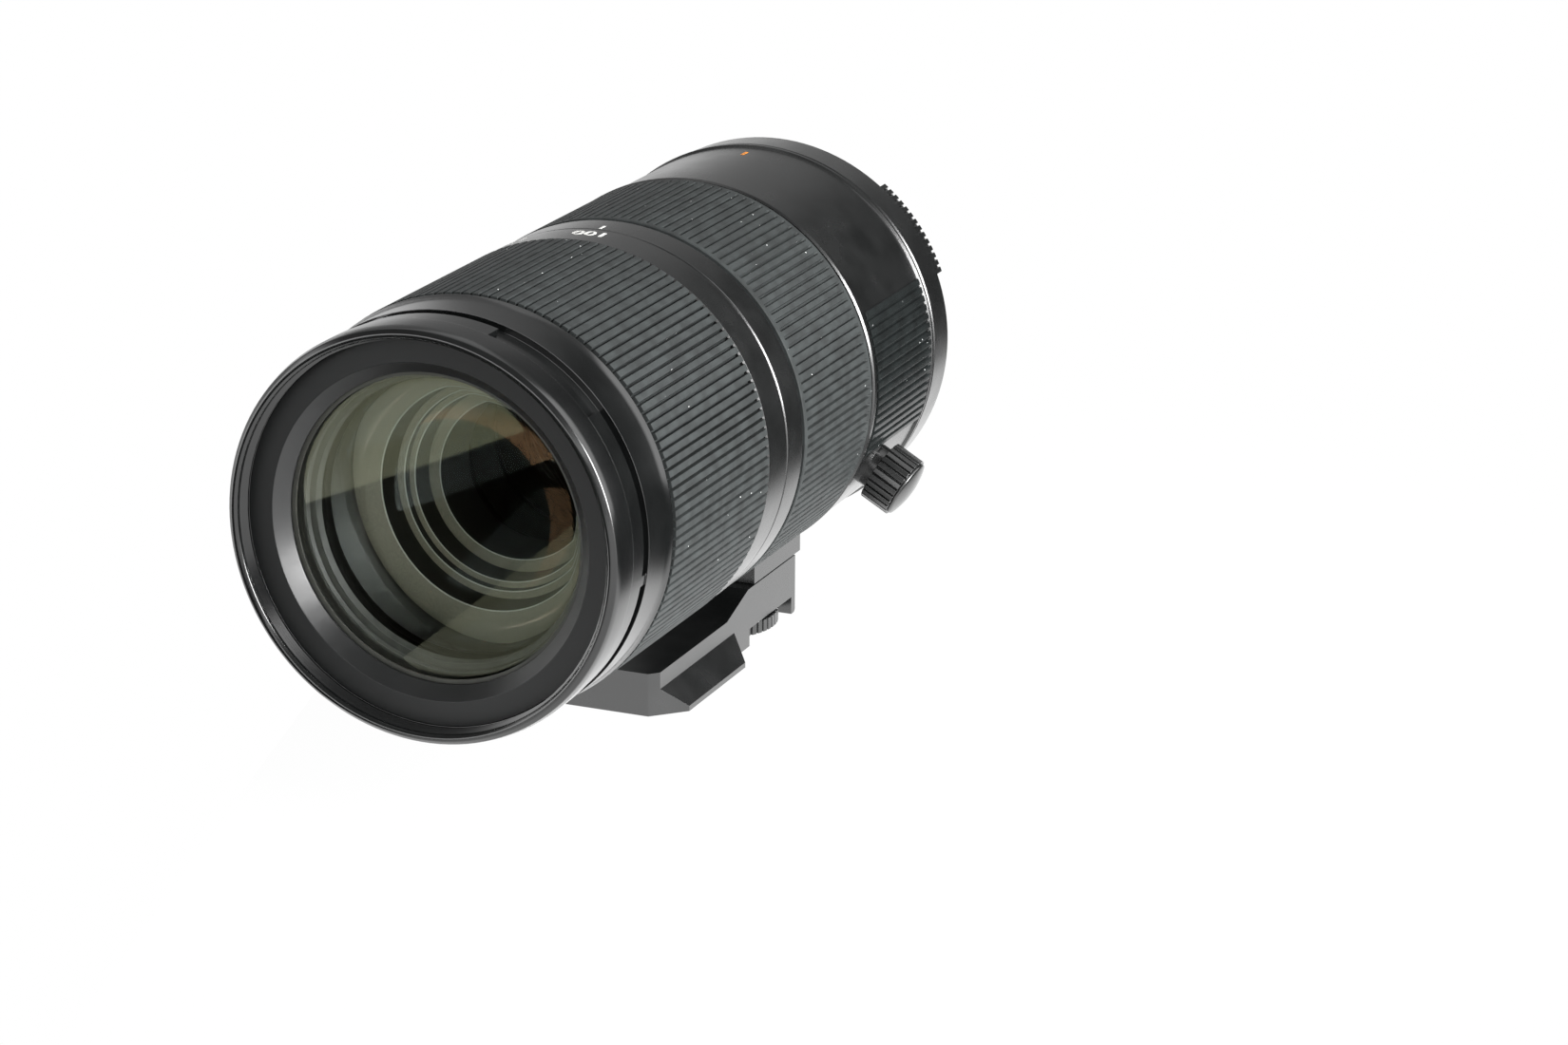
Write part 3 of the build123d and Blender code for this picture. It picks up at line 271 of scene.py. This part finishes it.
def solder_mask():
    """Green solder mask over the circuit board's copper."""
    material, tree, shader, place = finish("solder_mask", Roughness=0.3, IOR=1.5)
    tinted(tree, shader, grain(tree, place, 2.0), [(0.4, "#0f3a24"), (0.6, "#15492e")])
    return material


satin_black = satin_painted_aluminium()
rim_black = hard_anodised_rim()
dress_black = bead_blasted_aluminium()
bevel_black = smooth_bevel()
grip_rubber = moulded_rubber("moulded_grip_rubber", "#2e3030", "#373a3a", 0.46)
patch_rubber = moulded_rubber("smooth_patch_rubber", "#161818", "#1c1f1f", 0.2)
cell_black = blackened_metal()
inner_plastic = moulded_plastic("glass_filled_nylon", "#161717", "#1b1c1c")
seal_rubber = moulded_plastic("moulded_seal_rubber", "#121212", "#171717")
chromed_brass = machined_metal("turned_chromed_brass", "#bcbcbb", "#d2d2d1", 0.22, 0.12)
ground_steel = machined_metal("ground_steel", "#9d9d9b", "#b3b3b1", 0.3, 0.1)
turned_brass = machined_metal("turned_brass", "#bd964f", "#d3ae68", 0.3, 0.1)
gold_plate = machined_metal("gold_plate", "#dcae52", "#eac068", 0.2, 0.1)
hard_aluminium = machined_metal("hard_anodised_aluminium", "#505152", "#666768", 0.4, 0.15)
enamelled_copper = machined_metal("enamelled_copper_wire", "#9c4c26", "#b45f33", 0.35, 0.2)
olive_coating = coated_glass("olive_coated_glass", "#8f9272")
amber_coating = coated_glass("amber_coated_glass", "#b98d6c")
faint_coating = coated_glass("faintly_coated_glass", "#3c4446")
# Baffle tones with painted light and shade: pale steps are painted light, dark bores are painted shade,
# near-white slanted edges are a painted highlight.
baffle_painted_light_grey = baffle_paint("baffle_step_paint_painted_light", "#8d8778", "#9a9384", 0.6)
bore_painted_shade_black = baffle_paint("bore_painted_shade", "#26251f", "#302f29", 0.5)
baffle_painted_highlight = baffle_paint("baffle_edge_painted_highlight", "#c9c8bd", "#d8d7cc", 0.35)
white_ink = printed_ink("white_scale_ink", "#ecece8", "#f8f8f5")
orange_ink = printed_ink("orange_mark_ink", "#dd8218", "#ea9226")

finishes = {
    "filter_ring": rim_black, "front_shell": satin_black, "name_ring": dress_black,
    "zoom_sleeve": satin_black, "index_ring": satin_black, "focus_sleeve": grip_rubber,
    "rear_barrel": satin_black, "zoom_grip": grip_rubber, "focus_grip": grip_rubber,
    "rib_patches": grip_rubber, "tripod_collar": satin_black, "tripod_foot": satin_black,
    "thumb_wheel": rim_black, "lock_knob": rim_black, "knob_cap": rim_black,
    "mount_plate": chromed_brass, "mount_screws": ground_steel, "mount_gasket": seal_rubber,
    "contact_block": inner_plastic, "rear_baffle": cell_black, "contact_pins": gold_plate,
    "main_barrel": hard_aluminium, "barrel_bushing": inner_plastic, "cam_barrel": hard_aluminium,
    "drive_key": ground_steel, "front_tube": cell_black, "cam_followers": turned_brass,
    "variator_followers": turned_brass, "clamp_pad": turned_brass, "front_cell": cell_black,
    "front_retainer": cell_black, "doublet_retainer": cell_black, "variator_cell": cell_black,
    "relay_cell": cell_black, "rear_cell": cell_black, "inner_frame": inner_plastic,
    "iris_base": cell_black, "iris_drive_ring": inner_plastic, "focus_cell": inner_plastic,
    "focus_coil": enamelled_copper, "focus_magnet": ground_steel, "focus_rods": ground_steel,
    "circuit_board": solder_mask(),
}
for name, solid in nodes.items():
    glass = name.endswith("glass")
    material = finishes.get(name) or (faint_coating if glass else cell_black)
    solid.data.materials.clear()
    solid.data.materials.append(material)
    if glass:
        solid.visible_shadow = False


# Pieces


def piece(name, shape, body, material, sharp=30):
    """Makes an object of a finished shape, shades it and hangs it on its body."""
    mesh = bpy.data.meshes.new(name)
    shape.to_mesh(mesh)
    shape.free()
    for part in material if isinstance(material, tuple) else (material,):
        mesh.materials.append(part)
    mesh.shade_smooth()
    mesh.set_sharp_from_angle(angle=radians(sharp))
    made = bpy.data.objects.new(name, mesh)
    bpy.context.scene.collection.objects.link(made)
    weighted = made.modifiers.new("flat_faces_first", 'WEIGHTED_NORMAL')
    weighted.weight = 100
    weighted.keep_sharp = True
    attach(made, body)
    return made


name_ring_bevel_r = 35.25


def shoulder(face):
    """A face that looks forward, left matt where it closes the grooves of a grip."""
    return face.normal.y < -0.1


def inner_bevel(face):
    """The name ring's bevel, turned smoother than its blasted face."""
    middle = face.calc_center_median()
    return Vector((middle.x, middle.z)).length < name_ring_bevel_r * MM and -0.95 < face.normal.y < -0.2


def softened(source, body, slot, material, width_mm, segments, sharp, accent=None):
    """Copy of a solid with rounded edges. The accent's faces take the second of two materials."""
    shape = bmesh.new()
    shape.from_mesh(nodes[source].data)
    bmesh.ops.remove_doubles(shape, verts=shape.verts, dist=0.002 * MM)
    bmesh.ops.dissolve_limit(shape, angle_limit=radians(0.5), verts=shape.verts, edges=shape.edges)
    edges = [e for e in shape.edges if len(e.link_faces) == 2 and e.calc_face_angle() > radians(25)]
    bmesh.ops.bevel(shape, geom=edges, offset=width_mm * MM, segments=segments, profile=0.5,
                    affect='EDGES', material=-1, clamp_overlap=True)
    if accent:
        shape.normal_update()
        for face in shape.faces:
            face.material_index = 1 if accent(face) else 0
    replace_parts(piece(source + "_finished", shape, body, material, sharp), source)


def take_in(shape, other):
    """Adds another shape's faces to this one."""
    held = bpy.data.meshes.new("held")
    other.to_mesh(held)
    other.free()
    shape.from_mesh(held)
    bpy.data.meshes.remove(held)


def turned(corners, steps=240):
    """Ring of revolution about the axis from a closed list of (radius, station) corners."""
    shape = bmesh.new()
    points = [shape.verts.new((radius * MM, station(where), 0)) for radius, where in corners]
    edges = [shape.edges.new((a, b)) for a, b in zip(points, points[1:] + points[:1])]
    bmesh.ops.spin(shape, geom=points + edges, cent=(0, 0, 0), axis=(0, 1, 0), dvec=(0, 0, 0),
                   angle=2 * pi, steps=steps, use_merge=True, use_duplicate=False)
    bmesh.ops.remove_doubles(shape, verts=shape.verts, dist=0.001 * MM)
    bmesh.ops.recalc_face_normals(shape, faces=shape.faces)
    return shape


def round_axis(cell, radius_mm, count):
    """Repeats a shape drawn flat at the top of the barrel, count times round the axis."""
    bmesh.ops.translate(cell, verts=cell.verts, vec=(0, 0, radius_mm * MM))
    bmesh.ops.spin(cell, geom=cell.verts[:] + cell.edges[:] + cell.faces[:], cent=(0, 0, 0), axis=(0, 1, 0),
                   dvec=(0, 0, 0), angle=2 * pi * (count - 1) / count, steps=count - 1, use_duplicate=True)
    return cell


def rib_bar(front, rear, foot_mm, crest_mm, height_mm, rounding_mm):
    """One straight rib with a narrower crest and rounded edges."""
    rib = bmesh.new()
    bmesh.ops.create_cube(rib, size=1.0)
    bmesh.ops.scale(rib, verts=rib.verts, vec=(foot_mm * MM, (rear - front) * MM, height_mm * MM))
    bmesh.ops.translate(rib, verts=rib.verts, vec=(0, station((front + rear) / 2), height_mm * MM / 2))
    crest = [v for v in rib.verts if v.co.z > height_mm * MM / 2]
    bmesh.ops.scale(rib, verts=crest, vec=(crest_mm / foot_mm, 1, 1))
    foot = [f for f in rib.faces if f.normal.z < -0.5]
    bmesh.ops.delete(rib, geom=foot, context='FACES_ONLY')
    top = [e for e in rib.edges if all(v.co.z > height_mm * MM / 2 for v in e.verts)]
    bmesh.ops.bevel(rib, geom=top, offset=rounding_mm * MM, segments=2, profile=0.5, affect='EDGES',
                    material=-1)
    return rib


def pocket_cell(width_mm, length_mm, pocket_mm, lip_mm, depth_mm):
    """One pitch of the focus grip, seen flat: a pocket with round ends, sunk between two half ribs."""
    cell = bmesh.new()
    bmesh.ops.create_grid(cell, x_segments=1, y_segments=1, size=0.5)
    bmesh.ops.scale(cell, verts=cell.verts, vec=(width_mm * MM, length_mm * MM, 1))
    bmesh.ops.delete(cell, geom=cell.faces[:], context='FACES_ONLY')
    rim = bmesh.ops.create_circle(cell, cap_ends=False, segments=10, radius=pocket_mm * MM / 2)["verts"]
    straight = (length_mm / 2 - lip_mm - pocket_mm / 2) * MM
    for corner in rim:
        corner.co.y += copysign(straight, corner.co.y)
    inner = [e for e in cell.edges if all(v in rim for v in e.verts)]
    bmesh.ops.bridge_loops(cell, edges=cell.edges[:])
    wall = bmesh.ops.extrude_edge_only(cell, edges=inner)["geom"]
    low = [v for v in wall if isinstance(v, bmesh.types.BMVert)]
    bmesh.ops.translate(cell, verts=low, vec=(0, 0, -depth_mm * MM))
    bmesh.ops.scale(cell, verts=low, vec=(0.55, 0.965, 1))
    bmesh.ops.contextual_create(cell, geom=[e for e in wall if isinstance(e, bmesh.types.BMEdge)
                                            and all(v in low for v in e.verts)])
    bmesh.ops.recalc_face_normals(cell, faces=cell.faces)
    if sum(f.normal.z * f.calc_area() for f in cell.faces) < 0:
        bmesh.ops.reverse_faces(cell, faces=cell.faces)
    return cell


grip_bore_r = 42.3


def zoom_grip():
    """Rubber of the zoom ring: straight ribs with flat crests and narrow grooves."""
    front, rear = ends("zoom_grip")
    count, top, root, bore = 134, reach("zoom_grip"), 42.8, grip_bore_r
    pitch = 2 * pi * top / count
    foot, crest, rounding = pitch * 0.8, pitch * 0.68, 0.13
    shape = turned([(bore, front), (root, front), (root, rear), (bore, rear)])
    take_in(shape, round_axis(rib_bar(front, rear, foot, crest, top - root, rounding), root, count))
    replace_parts(piece("zoom_grip_rubber", shape, "zoom_ring", grip_rubber), "zoom_grip")


def focus_grip():
    """Rubber of the focus ring: grooves with round ends, sunk behind a plain lip at each end."""
    front, rear = ends("focus_grip")
    count, top, edge, bore = 136, reach("focus_grip"), 0.2, grip_bore_r
    width = 2 * top * sin(pi / count)
    pocket, lip, depth = width * 0.42, 1.0, 0.75
    cell = pocket_cell(width, rear - front - 2 * edge, pocket, lip, depth)
    bmesh.ops.translate(cell, verts=cell.verts, vec=(0, station((front + rear) / 2), 0))
    shape = round_axis(cell, top * cos(pi / count), count)
    bmesh.ops.remove_doubles(shape, verts=shape.verts, dist=0.01 * MM)
    for end, inward in ((front, edge), (rear, -edge)):
        take_in(shape, turned([(bore, end), (top - edge, end), (top, end + inward), (bore, end + inward)],
                              count))
    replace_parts(piece("focus_grip_rubber", shape, "focus_ring", grip_rubber), "focus_grip")


def patch_ribs():
    """Rib patches of the collar: broad ribs with rounded crests on a thin pad, one on each side."""
    front, rear = ends("rib_patches")
    pitch, count, bore, root, start, foot_share = 360 / 136, 17, 43.5, 43.6, 68, 0.82
    foot, crest, height, rounding = 1.66, 1.3, 0.5, 0.2
    edge_turn = Matrix.Rotation(radians(-pitch * foot_share / 2), 3, 'Y')
    both = bmesh.new()
    for first in (start, -start - (count - 1) * pitch):
        pad = bmesh.new()
        corners = ((bore, front), (root, front), (root, rear), (bore, rear))
        pad.faces.new([pad.verts.new((0, station(y), r * MM)) for r, y in corners])
        bmesh.ops.rotate(pad, verts=pad.verts, cent=(0, 0, 0), matrix=edge_turn)
        bmesh.ops.spin(pad, geom=pad.verts[:] + pad.edges[:] + pad.faces[:], cent=(0, 0, 0), axis=(0, 1, 0),
                       dvec=(0, 0, 0), angle=radians(pitch * (count - 1 + foot_share)), steps=50,
                       use_duplicate=False)
        bmesh.ops.recalc_face_normals(pad, faces=pad.faces)
        rib = rib_bar(front, rear, foot, crest, height, rounding)
        bmesh.ops.translate(rib, verts=rib.verts, vec=(0, 0, root * MM))
        bmesh.ops.spin(rib, geom=rib.verts[:] + rib.edges[:] + rib.faces[:], cent=(0, 0, 0), axis=(0, 1, 0),
                       dvec=(0, 0, 0), angle=radians(pitch * (count - 1)), steps=count - 1, use_duplicate=True)
        take_in(pad, rib)
        place_turn = Matrix.Rotation(radians(first), 3, 'Y')
        bmesh.ops.rotate(pad, verts=pad.verts, cent=(0, 0, 0), matrix=place_turn)
        take_in(both, pad)
    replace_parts(piece("patch_rubber", both, "collar", patch_rubber), "rib_patches")


def thread(radius_mm, depth_mm, pitch_mm, turns):
    """Ridge of an internal thread about the Y axis, from its open end at the origin inward along Y."""
    shape = bmesh.new()
    root, flat, steps = radius_mm + 0.05, 0.06, 72
    corners = ((root, flat), (radius_mm - depth_mm, pitch_mm / 2), (root, pitch_mm - flat))
    points = [shape.verts.new((r * MM, y * MM, 0)) for r, y in corners]
    edges = [shape.edges.new((a, b)) for a, b in zip(points, points[1:])]
    bmesh.ops.spin(shape, geom=points + edges, cent=(0, 0, 0), axis=(0, 1, 0),
                   dvec=(0, pitch_mm * MM / steps, 0), angle=2 * pi * turns, steps=round(steps * turns),
                   use_merge=False, use_duplicate=False)
    bmesh.ops.remove_doubles(shape, verts=shape.verts, dist=0.001 * MM)
    bmesh.ops.recalc_face_normals(shape, faces=shape.faces)
    return shape


def filter_thread():
    """Fine thread in front of the name ring, that filters screw into."""
    radius, depth, pitch, turns, where = 41.0, 0.42, 0.75, 4.0, 0.9
    shape = thread(radius, depth, pitch, turns)
    bmesh.ops.translate(shape, verts=shape.verts, vec=(0, station(where), 0))
    piece("filter_thread_ridge", shape, "front_barrel", rim_black)


def socket_threads():
    """Threads of the two tripod sockets in the foot's underside."""
    lead_in = 0.5
    for name, radius, depth, pitch, turns, where in (
            ("small_socket_ridge", 3.175, 0.55, 1.27, 4.5, 96.2),
            ("large_socket_ridge", 4.7625, 0.7, 1.5875, 3.5, 112.2)):
        shape = thread(radius, depth, pitch, turns)
        upright = Matrix.Rotation(pi / 2, 3, 'X')
        bmesh.ops.rotate(shape, verts=shape.verts, cent=(0, 0, 0), matrix=upright)
        bmesh.ops.translate(shape, verts=shape.verts, vec=(0, station(where), table + lead_in * MM))
        piece(name, shape, "collar", satin_black)


def wrapped(name, words, height_mm, radius_mm, where, turn, body, ink):
    """Figures printed on a ring, upright for someone who stands behind the lens."""
    figure_share, boldness, widening, ink_depth, sunk = 0.7, 0.07, 1.22, 0.05, 0.02
    curve = bpy.data.curves.new(name + "_outline", 'FONT')
    curve.body = words
    curve.align_x = 'CENTER'
    curve.align_y = 'CENTER'
    curve.size = height_mm * MM / figure_share
    curve.resolution_u = 4
    curve.offset = boldness * MM
    drawn = bpy.data.objects.new(name + "_outline", curve)
    bpy.context.scene.collection.objects.link(drawn)
    bpy.context.view_layer.update()
    flat = bpy.data.meshes.new_from_object(drawn)
    bpy.data.objects.remove(drawn)
    shape = bmesh.new()
    shape.from_mesh(flat)
    bpy.data.meshes.remove(flat)
    raised = bmesh.ops.extrude_face_region(shape, geom=shape.faces[:])["geom"]
    bmesh.ops.translate(shape, verts=[v for v in raised if isinstance(v, bmesh.types.BMVert)],
                        vec=(0, 0, ink_depth * MM))
    for corner in shape.verts:
        angle = radians(turn) - corner.co.x * widening / (radius_mm * MM)
        height = (radius_mm - sunk) * MM + corner.co.z
        corner.co = (sin(angle) * height, station(where) - corner.co.y, cos(angle) * height)
    bmesh.ops.recalc_face_normals(shape, faces=shape.faces)
    piece(name, shape, body, ink)


def stripe(name, radius_mm, turn, front, rear, width_mm, body, ink):
    """Short printed index line along the axis."""
    shape = bmesh.new()
    bmesh.ops.create_cube(shape, size=1.0)
    bmesh.ops.scale(shape, verts=shape.verts, vec=(width_mm * MM, (rear - front) * MM, 0.06 * MM))
    bmesh.ops.translate(shape, verts=shape.verts, vec=(0, station((front + rear) / 2), radius_mm * MM))
    place_turn = Matrix.Rotation(radians(turn), 3, 'Y')
    bmesh.ops.rotate(shape, verts=shape.verts, cent=(0, 0, 0), matrix=place_turn)
    piece(name, shape, body, ink)


def cap(radius_mm, where, sag_mm, steps=20):
    """Corners of a spherical face from its rim to the axis. A sag is how far it bulges forward."""
    ball = (radius_mm ** 2 + sag_mm ** 2) / (2 * abs(sag_mm))
    spots = [radius_mm * (1 - share / steps) for share in range(steps + 1)]
    rise = [sqrt(ball ** 2 - r ** 2) - ball + abs(sag_mm) for r in spots]
    return [(r, where - copysign(height, sag_mm)) for r, height in zip(spots, rise)]


def element(name, replaced, radius, front, rear, front_sag, rear_sag, front_coat, rear_coat):
    """Glass element with fine spherical faces, each with its own coating."""
    rim = 2.0
    clear = radius - rim
    face = cap(clear, front, front_sag)
    back = cap(clear, rear, rear_sag)
    shape = turned([(radius, front)] + face + back[::-1] + [(radius, rear)], 180)
    middle = station((front + rear) / 2)
    for side in shape.faces:
        side.material_index = 1 if side.calc_center_median().y > middle else 0
    made = piece(name, shape, "front_barrel", (front_coat, rear_coat))
    made.visible_shadow = False
    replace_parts(made, *replaced)


def front_optics():
    """Front element and doublet, the fine lines of their cell and the light baffles behind them."""
    # Each element: radius, front and rear station at its edge, how far both faces bulge forward.
    element("front_element", ("front_glass",), 33.6, 8.99, 14.59, 3.4, 1.2, olive_coating, amber_coating)
    element("front_doublet", ("doublet_front_glass", "doublet_rear_glass"), 30.4, 18.99, 28.81, 3.4, 8.0,
            faint_coating, amber_coating)
    step_r, throat_r = 31.06, 29.46
    step_lines = [(step_r - 0.4 * (k % 2), 14.75 + 0.4 * k) for k in range(4)]
    throat_lines = [(throat_r - 0.45 * (k % 2), 16.55 + 0.42 * k) for k in range(6)]
    lines = turned([(step_r, 14.7)] + step_lines + [(step_r, 16.3)])
    take_in(lines, turned([(throat_r, 16.5)] + throat_lines + [(throat_r, 18.9)]))
    piece("cell_lines", lines, "front_barrel", cell_black)
    # Radius and station of the baffles' corners: the steps from the front, then the back.
    steps = [(30.4, 30.95), (29.2, 30.95), (28.9, 32.0), (23.4, 33.0), (23.2, 33.2), (23.1, 38.6), (21.7, 38.8),
             (21.5, 39.0), (21.5, 40.6), (20.4, 40.8), (20.2, 41.0), (20.1, 46.5), (17.6, 46.7), (17.4, 46.9),
             (17.4, 60.0), (18.4, 60.0), (18.6, 52.0), (21.2, 49.5), (21.6, 43.5), (24.0, 41.0), (24.4, 36.5),
             (29.6, 34.4), (30.4, 33.6)]
    baffles = turned(steps)
    baffles.normal_update()
    # Each face takes a tone by how it faces the light: steps across the axis get painted light, bores painted
    # shade, slanted edges a painted highlight.
    step_painted_light, bore_painted_shade, edge_painted_highlight = range(3)
    for side in baffles.faces:
        along = abs(side.normal.y)
        side.material_index = step_painted_light if along > 0.85 else bore_painted_shade if along < 0.5 else edge_painted_highlight
    piece("light_baffles", baffles, "front_barrel", (baffle_painted_light_grey, bore_painted_shade_black, baffle_painted_highlight))


def markings():
    """Plain figures of the zoom scale, the index line they meet, and the collar's own line."""
    height, band_r, where, index_r, collar_r = 3.2, 43.9, 81.6, 43.8, 43.52
    for words, turn in (("100", 0), ("135", -25), ("200", -50), ("300", -75), ("400", -92)):
        wrapped("scale_figure_" + words, words, height, band_r, where, turn, "zoom_ring",
                white_ink)
    stripe("index_line", index_r, 0, 86.1, 88.7, 0.55, "barrel", white_ink)
    stripe("collar_line", collar_r, 0, 162.6, 165.4, 0.7, "collar", orange_ink)


front_optics()
filter_thread()
socket_threads()
zoom_grip()
focus_grip()
patch_ribs()
markings()
# Source, body, slot, material, width of its rounding in mm, segments, sharp angle, and the accent's faces.
for settings in (
        ("front_shell", "front_barrel", "satin_black", rim_black, 0.12, 2, 12),
        ("filter_ring", "front_barrel", "rim_black", rim_black, 0.2, 3, 30),
        ("name_ring", "front_barrel", "dress_black", (dress_black, bevel_black), 0.1, 2, 30, inner_bevel),
        ("zoom_sleeve", "zoom_ring", "satin_black", (satin_black, seal_rubber), 0.12, 2, 30, shoulder),
        ("index_ring", "barrel", "satin_black", satin_black, 0.12, 2, 30),
        ("focus_sleeve", "focus_ring", "satin_black", grip_rubber, 0.12, 2, 30),
        ("tripod_collar", "collar", "collar_black", satin_black, 0.25, 2, 30),
        ("tripod_foot", "collar", "foot_black", satin_black, 0.4, 2, 30),
        ("rear_barrel", "barrel", "satin_black", satin_black, 0.22, 3, 30),
        ("mount_plate", "barrel", "bright_steel", chromed_brass, 0.1, 2, 30),
        ("thumb_wheel", "thumb_wheel", "wheel_metal", satin_black, 0.15, 2, 30),
        ("lock_knob", "lock_knob", "knob_black", satin_black, 0.12, 2, 30),
        ("knob_cap", "lock_knob", "cap_black", satin_black, 0.2, 2, 30)):
    softened(*settings)


# Studio


def table_top():
    """White table. Its front edge lies where the front glass mirrors it, and the camera sees it as white. For
    light that bounces off the lens it glows: painted light in place of the lamps' light on it, brighter in
    reflections, with a painted dark patch to the right of the lens that shows only in reflections.
    """
    material = bpy.data.materials.new("white_table")
    material.use_nodes = True
    tree = material.node_tree
    tree.nodes.clear()
    place = add(tree, "TexCoord").outputs["Object"]
    path = add(tree, "LightPath")
    centred = add(tree, "Mapping", {"Location": (0, 0.08, 0)}, {"Vector": place})
    away = add(tree, "VectorMath", links={0: centred.outputs["Vector"]}, operation="LENGTH")
    fade = add(tree, "MapRange", {"From Min": 0.05, "From Max": 0.3, "To Min": 0.965},
               {"Value": away.outputs["Value"]}, interpolation_type="SMOOTHSTEP")
    matt = add(tree, "BsdfDiffuse", {"Color": colour("#fcfcfc")})
    white = add(tree, "Emission", {"Strength": 1.0})
    seen = add(tree, "MixShader", links={"Fac": fade.outputs["Result"], 1: matt.outputs["BSDF"],
                                         2: white.outputs["Emission"]})
    across = add(tree, "SeparateXYZ", links={"Vector": place})
    # Painted shade: in reflections the table turns dark to the right of the lens, from its middle backwards.
    beside = add(tree, "MapRange", {"From Min": 0.065, "From Max": 0.1},
                 {"Value": across.outputs["X"]}, interpolation_type="SMOOTHSTEP")
    behind = add(tree, "MapRange", {"From Min": -0.11, "From Max": -0.07},
                 {"Value": across.outputs["Y"]}, interpolation_type="SMOOTHSTEP")
    both = add(tree, "Math", links={0: beside.outputs["Result"], 1: behind.outputs["Result"]},
               operation="MULTIPLY")
    dimmed = add(tree, "MapRange", {"To Min": 1.6, "To Max": 0.02}, {"Value": both.outputs[0]})
    mirrored = add(tree, "Emission", links={"Strength": dimmed.outputs["Result"]})
    # Painted light: the table glows for rays bouncing off the lens, in place of the lamps' light falling on it.
    painted_bounce_glow = add(tree, "Emission", {"Strength": 0.85})
    bounced = add(tree, "MixShader", links={"Fac": path.outputs["Is Diffuse Ray"], 1: mirrored.outputs[0],
                                            2: painted_bounce_glow.outputs[0]})
    whole = add(tree, "MixShader", links={"Fac": path.outputs["Is Camera Ray"], 1: bounced.outputs[0],
                                          2: seen.outputs[0]})
    add(tree, "OutputMaterial", links={"Surface": whole.outputs["Shader"]})
    shape = bmesh.new()
    bmesh.ops.create_grid(shape, x_segments=1, y_segments=1, size=4.0)
    bmesh.ops.translate(shape, verts=shape.verts, vec=(0, 0, table))
    geometry = shape.verts[:] + shape.edges[:] + shape.faces[:]
    bmesh.ops.bisect_plane(shape, geom=geometry, dist=0, plane_co=(-0.024, -0.278, 0),
                           plane_no=(-0.134, -0.034, 0), clear_outer=True)
    mesh = bpy.data.meshes.new("table")
    shape.to_mesh(mesh)
    shape.free()
    mesh.materials.append(material)
    made = bpy.data.objects.new("table", mesh)
    bpy.context.scene.collection.objects.link(made)


def lamp(name, place, aim, size, watts):
    """Rectangular softbox that looks at a point."""
    light = bpy.data.lights.new(name, 'AREA')
    light.shape = 'RECTANGLE'
    light.size, light.size_y = size
    light.energy = watts
    made = bpy.data.objects.new(name, light)
    made.location = place
    made.rotation_euler = (Vector(aim) - Vector(place)).to_track_quat('-Z', 'Y').to_euler()
    bpy.context.scene.collection.objects.link(made)


def world():
    """White studio walls. In reflections the camera's side is dark under a window, and so is the right."""
    made = bpy.data.worlds.new("studio")
    bpy.context.scene.world = made
    made.use_nodes = True
    tree = made.node_tree
    tree.nodes.clear()
    path = add(tree, "LightPath")
    direction = add(tree, "TexCoord").outputs["Generated"]
    parts = add(tree, "SeparateXYZ", links={"Vector": direction})

    def band(source, start, end, low=0.0, high=1.0):
        values = {"From Min": start, "From Max": end, "To Min": low, "To Max": high}
        return add(tree, "MapRange", values, {"Value": source},
                   interpolation_type="SMOOTHSTEP").outputs["Result"]

    def combine(operation, first, second):
        if isinstance(second, float):
            return add(tree, "Math", {1: second}, {0: first}, operation=operation).outputs[0]
        return add(tree, "Math", links={0: first, 1: second}, operation=operation).outputs[0]

    sill = (-0.404, 0.0709, 0.912)      # normal of the plane through the window's lower edge
    above = add(tree, "VectorMath", {1: sill}, {0: direction}, operation="DOT_PRODUCT").outputs["Value"]
    x, y, z = (parts.outputs[axis] for axis in "XYZ")
    window = combine("MULTIPLY", band(above, -0.004, 0.004, 0.0, 3.5), band(z, 0.35, 0.55, 1.0, 0.05))
    front = combine("MULTIPLY", combine("ADD", window, 0.015), band(y, -0.1, 0.0, 1.0, 0.0))
    right = combine("MAXIMUM", band(x, -0.2, 0.32, 1.0, 0.02), band(x, 0.55, 0.72))
    behind = combine("MULTIPLY", band(z, 0.0, 0.33, 1.0, 0.36), combine("MAXIMUM", right, band(z, 0.45, 0.75)))
    panel = combine("MULTIPLY", band(x, 0.3, 0.45, 0.0, 2.6), band(y, 0.68, 0.78, 1.0, 0.0))
    behind = combine("MAXIMUM", behind, panel)
    level = combine("ADD", front, combine("MULTIPLY", behind, band(y, -0.1, 0.0)))
    ambient = add(tree, "Background", {"Strength": 0.3})
    mirrored = add(tree, "Background", links={"Strength": level})
    backdrop = add(tree, "Background", {"Strength": 1.0})
    for light in (ambient, mirrored, backdrop):
        light.inputs["Color"].default_value = colour("#ffffff")
    bent = combine("MAXIMUM", path.outputs["Is Glossy Ray"], path.outputs["Is Transmission Ray"])
    met = add(tree, "MixShader", links={"Fac": bent, 1: ambient.outputs[0], 2: mirrored.outputs[0]})
    seen = add(tree, "MixShader", links={"Fac": path.outputs["Is Camera Ray"], 1: met.outputs[0],
                                         2: backdrop.outputs[0]})
    add(tree, "OutputWorld", links={"Surface": seen.outputs[0]})


def camera():
    """Camera at the photograph's place, as solved from the lens's own circles."""
    view = bpy.data.cameras.new("camera")
    view.lens = 105.0
    view.sensor_width = 36.0
    made = bpy.data.objects.new("camera", view)
    forward = Vector((-0.366603, 0.878622, -0.305983))
    turn = forward.to_track_quat('-Z', 'Y').to_matrix().to_4x4() @ Matrix.Rotation(radians(0.349), 4, 'Z')
    made.matrix_world = Matrix.Translation((0.3992, -0.96618, 0.28142)) @ turn
    bpy.context.scene.collection.objects.link(made)
    bpy.context.scene.camera = made


table_top()
world()
camera()
lamp("overhead_softbox", (-0.25, 0.1, 0.95), (0, -0.1, 0), (1.1, 0.9), 2)
lamp("right_softbox", (0.95, -0.35, 0.3), (0, -0.1, 0), (0.6, 0.5), 32)
bpy.context.scene.view_settings.view_transform = 'Standard'
